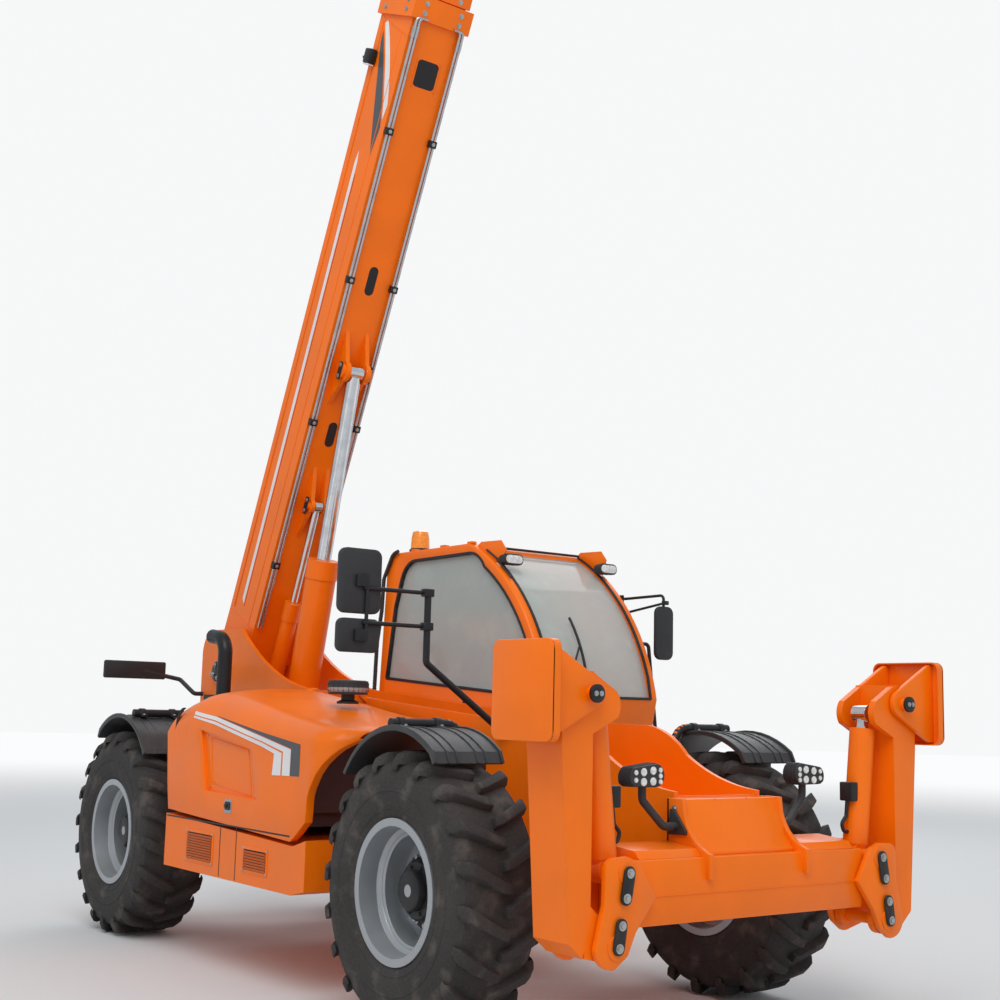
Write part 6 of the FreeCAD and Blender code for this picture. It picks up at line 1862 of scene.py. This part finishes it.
@dataclass(frozen=True)
class HoodForm:
    """The hood's rounded shell with its arch, recess and vent, in place of the plainer solid."""

    stations: tuple[float, ...] = (-0.945, -0.938, -0.915, -0.87, -0.8, -0.72, -0.648, -0.56, -0.473, -0.3,
        -0.15, 0.0, 0.15, 0.3, 0.45, 0.6, 0.66, 0.7, 0.74, 0.78, 0.814, 0.82, 0.826, 0.845, 0.865, 0.889,
        0.925, 0.9645, 0.99, 1.015, 1.03)
    top: tuple[Flat, ...] = ((-0.945, 1.395), (-0.938, 1.425), (-0.915, 1.45), (-0.87, 1.473), (-0.8, 1.497),
        (-0.72, 1.522), (-0.648, 1.544), (-0.56, 1.556), (-0.473, 1.562), (-0.3, 1.54), (0.0, 1.502),
        (0.401, 1.444), (0.819, 1.397), (0.965, 1.379), (1.03, 1.366))
    low: tuple[Flat, ...] = ((-0.881, 0.8375), (0.669, 0.773), (0.814, 0.88), (0.826, 1.009), (0.845, 1.05),
        (0.889, 1.124), (0.925, 1.178), (0.9645, 1.2227), (0.99, 1.254), (1.015, 1.28), (1.03, 1.308))
    side: tuple[Flat, ...] = ((0.845, 1.1512), (0.889, 1.145), (0.925, 1.126), (0.9645, 1.1), (0.99, 1.07),
        (1.015, 1.03), (1.03, 0.97))
    shoulder: tuple[Flat, ...] = ((-0.945, 1.29), (-0.8, 1.318), (-0.3, 1.32), (0.8, 1.292), (0.925, 1.288),
        (1.015, 1.302), (1.03, 1.316))
    sheet: float = 0.008
    film: float = 0.0012
    edge: float = 0.003
    reach: tuple[Flat, ...] = ((-0.945, 0.17), (-0.3, 0.205), (0.8, 0.15), (0.965, 0.13), (1.03, 0.11))

    def section(self, at: float) -> list[Flat]:
        """Give the open outline of the shell at a station, from its folded foot to its inner edge."""
        side, low, top = between(self.side, at), between(self.low, at), between(self.top, at)
        shoulder, reach = between(self.shoulder, at), between(self.reach, at)
        bend = arc((-side, shoulder), (-side + reach * 0.27, shoulder + (top - 0.02 - shoulder) * 0.66),
            (-side + reach, top - 0.02), 9)
        crown = arc(bend[-1], (-0.7, top + 0.005), (-0.345, top - 0.008), 9)
        foot = [(-side + 0.045, low + 0.002), (-side, low)]
        return foot + [(-side, low + (shoulder - low) * k / 3) for k in (1, 2)] + bend + crown[1:] + [(-0.345,
                top - 0.06)]

    def skin(self, at: float, height: float) -> Point:
        """Give the place on the shell's side at a station and a height."""
        points = self.section(at)[1:]
        for (a, low), (b, high) in zip(points, points[1:]):
            if low <= height <= high:
                return station(at), a + (b - a) * (height - low) / (high - low) - self.film - 0.0002, height
        return station(at), points[0][0] - self.film - 0.0002, height

    def band(self, name: str, finish: Finish, outer: Sequence[Flat], inner: Sequence[Flat]) -> None:
        """Lay one band of the livery on the shell, between its outer and inner lines."""
        film = Shape()
        rows = []
        for one, two, three, four in zip(outer, outer[1:], inner, inner[1:]):
            for step in range(13):
                a, b = Vector(one).lerp(Vector(two), step / 12), Vector(three).lerp(Vector(four), step / 12)
                rows.append([film.mesh.verts.new(self.skin(*a.lerp(b, share / 4))) for share in range(5)])
        for one, two in zip(rows, rows[1:]):
            for k in range(4):
                film.mesh.faces.new((one[k], one[k + 1], two[k + 1], two[k]))
        bmesh.ops.remove_doubles(film.mesh, verts=film.mesh.verts, dist=1e-5)
        bmesh.ops.recalc_face_normals(film.mesh, faces=film.mesh.faces)
        modified(film, [("SOLIDIFY", {"thickness": self.film, "offset": 0.0})]).finish(name, "hood", finish)

    def livery(self) -> None:
        """Lay two white bands and a dark one, which run under the shoulder and turn down near the arch."""
        self.band("hood_dark_band", GREY, [(-0.3, 1.4005), (0.3, 1.322), (0.734, 1.272), (0.733, 1.108)],
            [(-0.3, 1.3985), (0.3, 1.304), (0.64, 1.246), (0.636, 1.1065)])
        self.band("hood_white_band", WHITE, [(-0.609, 1.424), (-0.3, 1.3945), (0.3, 1.3), (0.636, 1.2425),
                (0.632, 1.106)], [(-0.605, 1.404), (-0.3, 1.374), (0.3, 1.276), (0.552, 1.228),
                (0.549, 1.1045)])
        self.band("hood_lower_band", WHITE, [(-0.603, 1.397), (-0.3, 1.367), (0.3, 1.268), (0.536, 1.22),
                (0.531, 1.1035)], [(-0.6, 1.386), (-0.3, 1.352), (0.3, 1.248), (0.452, 1.214),
                (0.437, 1.101)])

    def build(self) -> None:
        """Make the shell, carve its openings and lay its livery."""
        self.livery()
        skin = Shape()
        piece = skin.mesh
        rings = []
        for at in self.stations:
            weight = max(0.0, min(1.0, (-0.7 - at) / 0.245))
            rings.append([piece.verts.new((station(at + 0.072 * weight
                        * max(0.0, (1.224 - z) / 0.387) ** 1.4), y, z)) for y, z in self.section(at)])
        for one, two in zip(rings, rings[1:]):
            for k in range(len(one) - 1):
                piece.faces.new((one[k], one[k + 1], two[k + 1], two[k]))
        heel = piece.verts.new((station(-0.88), -0.345, 0.84))
        piece.faces.new(rings[0][1:] + [heel])
        bmesh.ops.recalc_face_normals(piece, faces=piece.faces)
        cutter = Shape().prism(Plane.SIDE, RECESS, -1.2, -1.12).prism(Plane.SIDE, VENT, -1.2, -1.12)
        shell = modified(skin, [("SOLIDIFY", {"thickness": self.sheet, "offset": -1.0}),
                ("BOOLEAN", {"operation": "DIFFERENCE", "solver": "EXACT", "object": cutter}),
                ("BEVEL", {"width": self.edge, "segments": 2, "limit_method": "ANGLE",
                    "angle_limit": math.radians(50)})])
        item = shell.finish("hood_shell", "hood", ORANGE, smooth=32.0)
        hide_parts("hood")
        pan = Shape()
        middle = (-0.1, 1.12)
        grown = [(middle[0] + (a - middle[0]) * 1.03, middle[1] + (b - middle[1]) * 1.06) for a, b in RECESS]
        pan.prism(Plane.SIDE, grown, -1.128, -1.12)
        for k in range(4):
            pan.prism(Plane.SIDE, ribbon([RECESS[k], RECESS[(k + 1) % 4]], 0.01), -1.15, -1.121, 0.002)
        for along in (-0.65, -0.13):
            pan.prism(Plane.FRONT, [(-0.42, 1.552), (-0.345, 1.585), (-0.325, 1.575), (-0.325, 1.545),
                    (-0.36, 1.53), (-0.42, 1.53)], along, along + 0.09, 0.004)
        pan.finish("hood_recess_pan", "hood", ORANGE)


@dataclass(frozen=True)
class CabForm:
    """The cab's shell and panes with their curved windows, in place of the plainer solids."""

    inner: float = CAB_INNER
    outer: float = CAB_OUTER
    wall: float = 0.045
    pane_depth: float = 0.0195
    pane: float = 0.006
    hinges: tuple[float, float] = (1.18, 2.25)

    def form(self, inset: float, bevel: float = 0.0) -> Shape:
        """Give the cab's outer form, or the room inside it."""
        w = inset
        outline = [(-0.85 + w, 0.96 + w), (-0.85 + w, 1.6)]
        outline += arc((-0.8 + w, 2.38), (-0.772 + w, 2.46 - 0.7 * w), (-0.7 + w, 2.5 - w), 6)
        outline += arc((0.15, 2.5 - w), (0.7 - 0.8 * w, 2.085 - 0.7 * w), (0.94 - w, 1.56), 24)
        outline += [(0.9 - w, 1.38), (0.86 - w, 0.96 + w)]
        return Shape().prism(Plane.SIDE, outline, self.inner + w, self.outer - w, bevel, 3)

    def windows(self, door: bool) -> Shape:
        """Give prisms through the right, front, rear and roof panes, and the door's opening if asked."""
        low, high = self.inner + 0.06, self.outer - 0.06
        shape = Shape().prism(Plane.SIDE, Cab().right_window(0.0), self.inner - 0.05, self.inner + 0.065)
        shape.prism(Plane.PLAN, [(0.235, low), (1.1, low), (1.1, high), (0.235, high)], 1.56, 2.55)
        shape.prism(Plane.PLAN, [(-0.9, low), (-0.69, low), (-0.69, high), (-0.9, high)], 1.65, 2.4)
        shape.prism(Plane.PLAN, [(-0.6, low), (0.06, low), (0.06, high), (-0.6, high)], 2.38, 2.55)
        if door:
            shape.prism(Plane.SIDE, DOORWAY, self.outer - 0.065, self.outer + 0.05)
        return shape

    def build(self) -> None:
        """Make the shell, the panes and the hinges."""
        cut = {"operation": "DIFFERENCE", "solver": "EXACT"}
        shell = modified(self.form(0.0, 0.018), [("BOOLEAN", {**cut, "object": self.form(self.wall)}),
                ("BOOLEAN", {**cut, "object": self.windows(True)}), ("BEVEL",
                    {"width": 0.003, "segments": 2, "limit_method": "ANGLE",
                    "angle_limit": math.radians(50)})])
        for height in self.hinges:
            for low in (height - 0.058, height + 0.04):
                shell.box((-0.69, self.outer - 0.002, low), (-0.601, self.outer + 0.036, low + 0.018), 0.003)
            shell.lathe([(-0.058, 0.0), (-0.058, 0.009), (0.058, 0.009), (0.058, 0.0)],
                (-0.615, self.outer + 0.022, height), Axis.Z, 16)
        for side in (self.inner + 0.036, self.outer - 0.044):
            shell.prism(Plane.SIDE, [(0.18, 2.47), (0.235, 2.504), (0.44, 2.498), (0.492, 2.44),
                    (0.486, 2.414), (0.42, 2.392), (0.38, 2.352), (0.33, 2.405)], side, side + 0.008, 0.002)
        item = shell.finish("cab_body", "chassis", ORANGE, smooth=32.0)
        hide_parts("cab_shell")
        panes = modified(self.form(self.pane_depth), [("BOOLEAN",
                    {**cut, "object": self.form(self.pane_depth + self.pane)}),
                ("BOOLEAN", {"operation": "INTERSECT", "solver": "EXACT", "object": self.windows(False)})])
        item = panes.finish("cab_panes", "chassis", GLASS, smooth=32.0)
        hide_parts("cab_glass")


@dataclass(frozen=True)
class BeamForm:
    """The front beam, the foot pads, the lamps and the mirrors in their finer forms."""

    rear: float = BEAM_REAR
    front: float = BEAM_FRONT
    low: float = 0.598
    high: float = 0.868
    half: float = 0.72
    rib: float = 0.295

    def build(self) -> None:
        """Make every piece."""
        self.beam()
        for side in (-1, 1):
            self.pad(side)
        self.lamps()
        self.mirrors()

    def beam(self) -> None:
        """Make the cross beam with its end brackets, ribs and stepped cover."""
        crease, high, front = 0.723, self.high, self.front
        shape = Shape().prism(Plane.SIDE, [(self.rear, self.low + 0.012), (front - 0.02, self.low),
                (front, crease), (front - 0.015, high), (self.rear, high)], -self.half, self.half, 0.006, 3)
        bracket = [(-0.64, crease), (-0.735, high), (-0.799, 0.893)]
        bracket += arc((-0.867, 0.89), (-0.903, 0.874), (-0.916, 0.838), 6)
        bracket += arc((-0.918, 0.708), (-0.936, 0.64), (-0.948, 0.592), 4)
        bracket += arc((-0.964, 0.532), (-0.936, 0.476), (-0.86, 0.452), 8)
        bracket += [(-0.792, 0.5), (-0.75, self.low - 0.01)]
        for outline in (bracket, flipped(bracket)):
            for low in (front, self.rear - 0.03):
                shape.prism(Plane.FRONT, outline, low, low + 0.03, 0.004)
        for side in (-1, 1):
            for across, height in (UPPER_PIN, LOWER_PIN):
                shape.lathe([(2.563, 0.0), (2.563, 0.0315), (2.88, 0.0315), (2.88, 0.05), (2.886, 0.05),
                        (2.886, 0.0)], (0.0, side * across, height), Axis.X, 32)
        outer = self.rib + 0.025
        shape.box((self.rear - 0.005, -outer, high - 0.02), (self.rear + 0.01, outer, 1.105), 0.002)
        line = [(self.rear - 0.005, high - 0.02), (front - 0.03, high - 0.02), (front - 0.03, high - 0.08),
            (front, high - 0.093), (front + 0.021, high - 0.093), (front + 0.021, high + 0.012)]
        line += arc((front + 0.021, high + 0.012), (front - 0.088, high + 0.076),
            (front - 0.142, high + 0.17), 10)[1:]
        line += [(front - 0.15, 1.105), (self.rear - 0.005, 1.105)]
        for low in (-outer, self.rib):
            shape.prism(Plane.SIDE, line, low, low + 0.025, 0.003)
        shape.prism(Plane.SIDE, [(self.rear - 0.005, high), (front - 0.055, high),
                (front - 0.058, high + 0.014), (front - 0.108, high + 0.068), (front - 0.176, 1.101),
                (self.rear - 0.005, 1.101)], -self.rib, self.rib, 0.004)
        for near, far in ((outer, self.half - 0.04), (-self.half + 0.04, -outer)):
            shape.prism(Plane.SIDE, [(self.rear, high), (front - 0.03, high), (front - 0.062, high + 0.034),
                    (self.rear, high + 0.052)], near, far, 0.004)
        item = shape.finish("front_beam_form", "chassis", ORANGE, smooth=32.0)
        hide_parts("front_beam")

    def pad(self, side: int) -> None:
        """Make a foot pad as a shallow pan with two gussets."""
        name = "right" if side < 0 else "left"
        middle, depth, rim = (self.rear + self.front) / 2, 1.25, 1.205
        low, high = 1.3512, 1.7612
        shape = Shape()
        outline = rounded(middle - 0.2, middle + 0.2, low, high, 0.04)
        shape.slab(Plane.SIDE, outline, side, depth, depth - 0.014, 0.003)
        closed = outline + outline[:1]
        for one, two in zip(closed, closed[1:]):
            pull = [(middle + (a - middle) * 0.966, 1.5562 + (b - 1.5562) * 0.966) for a, b in (two, one)]
            shape.slab(Plane.SIDE, [one, two] + pull, side, depth - 0.006, rim)
        gusset = [(-1.236, low + 0.014), (-1.205, low + 0.014), (-0.945, 1.503)]
        gusset += arc((-0.945, 1.503), (-0.925, 1.548), (-0.96, 1.608), 8)[1:]
        gusset += [(-1.205, high - 0.014), (-1.236, high - 0.014)]
        gusset = gusset if side < 0 else flipped(gusset)
        for near, far in ((2.581, 2.607), (2.848, 2.874)):
            shape.prism(Plane.FRONT, gusset, near, far, 0.003)
        item = shape.finish(f"{name}_pad_form", f"{name}_pad", ORANGE, smooth=32.0)
        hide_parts(f"{name}_pad")

    def lamps(self) -> None:
        """Make the head lamps' housings and arms, the roof lamps, the beacon's foot and the rear board."""
        black = Shape()
        base = self.rib + 0.0253
        foot = [(self.rear + 0.012, 0.947), (self.rear + 0.125, 0.952), (self.rear + 0.128, 0.968),
            (self.rear + 0.052, 1.06), (self.rear + 0.024, 1.058)]
        for side in (-1, 1):
            outline = HEAD_LAMP if side < 0 else flipped(HEAD_LAMP)
            black.prism(Plane.FRONT, outline, self.rear + 0.005, self.rear + 0.085, 0.006)
            black.slab(Plane.SIDE, foot, side, base, base + 0.012, 0.003)
            black.tube([(self.rear + 0.06, side * base, 0.985), (self.rear + 0.06, side * 0.4, 0.985),
                    (self.rear + 0.045, side * 0.515, 1.1), (self.rear + 0.045, side * 0.515, 1.175)], 0.018,
                0.04, 16)
        for across in (0.384, 1.14):
            black.prism(Plane.FRONT, rounded(across - 0.07, across + 0.07, 2.348, 2.412, 0.03), 0.436, 0.505,
                0.006)
        black.lathe([(0.0, 0.0), (0.0, 0.072), (0.03, 0.072), (0.036, 0.062), (0.036, 0.0)],
            (-0.64, 0.45, 2.5), Axis.Z, 32)
        black.prism(Plane.FRONT, rounded(-1.0, -0.54, 1.635, 1.76, 0.014), -2.462, -2.436, 0.005)
        black.tube([(-2.45, -0.7, 1.69), (-2.45, -0.42, 1.64), (-2.37, -0.34, 1.54), (-2.37, -0.276, 1.54)],
            0.016, 0.03, 14)
        item = black.finish("lamp_housings", "chassis", PLASTIC)
        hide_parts("lamps")

    def mirrors(self) -> None:
        """Make the mirrors' posts and arms."""
        black = Shape()
        black.tube([(1.345, -0.2755, 1.385), (1.345, -0.34, 1.385), (1.345, -0.795, 1.698),
                (1.345, -0.795, 2.07)], 0.018, 0.03, 16)
        for height in (2.05, 1.88):
            black.tube([(1.338, -1.17, height), (1.338, -0.795, height)], 0.011, 0, 12)
        root = 1.1705
        black.prism(Plane.SIDE, rounded(0.568, 0.612, 2.08, 2.212, 0.008), root, root + 0.008, 0.002)
        black.tube([(0.59, root + 0.004, 2.19), (0.59, 1.205, 2.19), (0.9, 1.247, 2.2), (0.9, 1.247, 2.125)],
            0.009, 0.025, 12)
        black.tube([(0.59, root + 0.004, 2.1), (0.59, 1.205, 2.1), (0.897, 1.247, 2.15)], 0.008, 0.02, 12)
        item = black.finish("mirror_arms", "chassis", BLACK)
        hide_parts("mirrors")




def dress_nodes(nodes: dict[str, bpy.types.Object]) -> None:
    """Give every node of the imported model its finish.

    Args:
        nodes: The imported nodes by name.
    """
    special = {"exhaust": BLACK, "pre_cleaner": PLASTIC, "cab_interior": TRIM, "mirrors": PLASTIC,
        "lamps": PLASTIC, "engine": IRON, "boom_pipes": PIPE, "cab_glass": GLASS, "door_glass": GLASS,}
    endings = (("_tyre", TYRE), ("_rim", SILVER), ("_fender", FENDER), ("_rod", CHROME))
    for name, item in nodes.items():
        finish = special.get(name) or next((f for end, f in endings if name.endswith(end)), ORANGE)
        item.data.materials.clear()
        item.data.materials.append(finish.material())


def main() -> None:
    """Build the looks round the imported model, in order."""
    logging.basicConfig(level=logging.INFO, format="%(name)s: %(message)s")
    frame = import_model()
    bpy.context.scene.view_settings.view_transform = "Standard"
    Studio().build()
    dress_nodes(frame["nodes"])
    for area in (HoodForm(), CabForm(), BeamForm(), Wheels(), Hood(), Boom(), Cab(), Front(), Frame()):
        area.build()


if __name__ == "__main__":
    main()
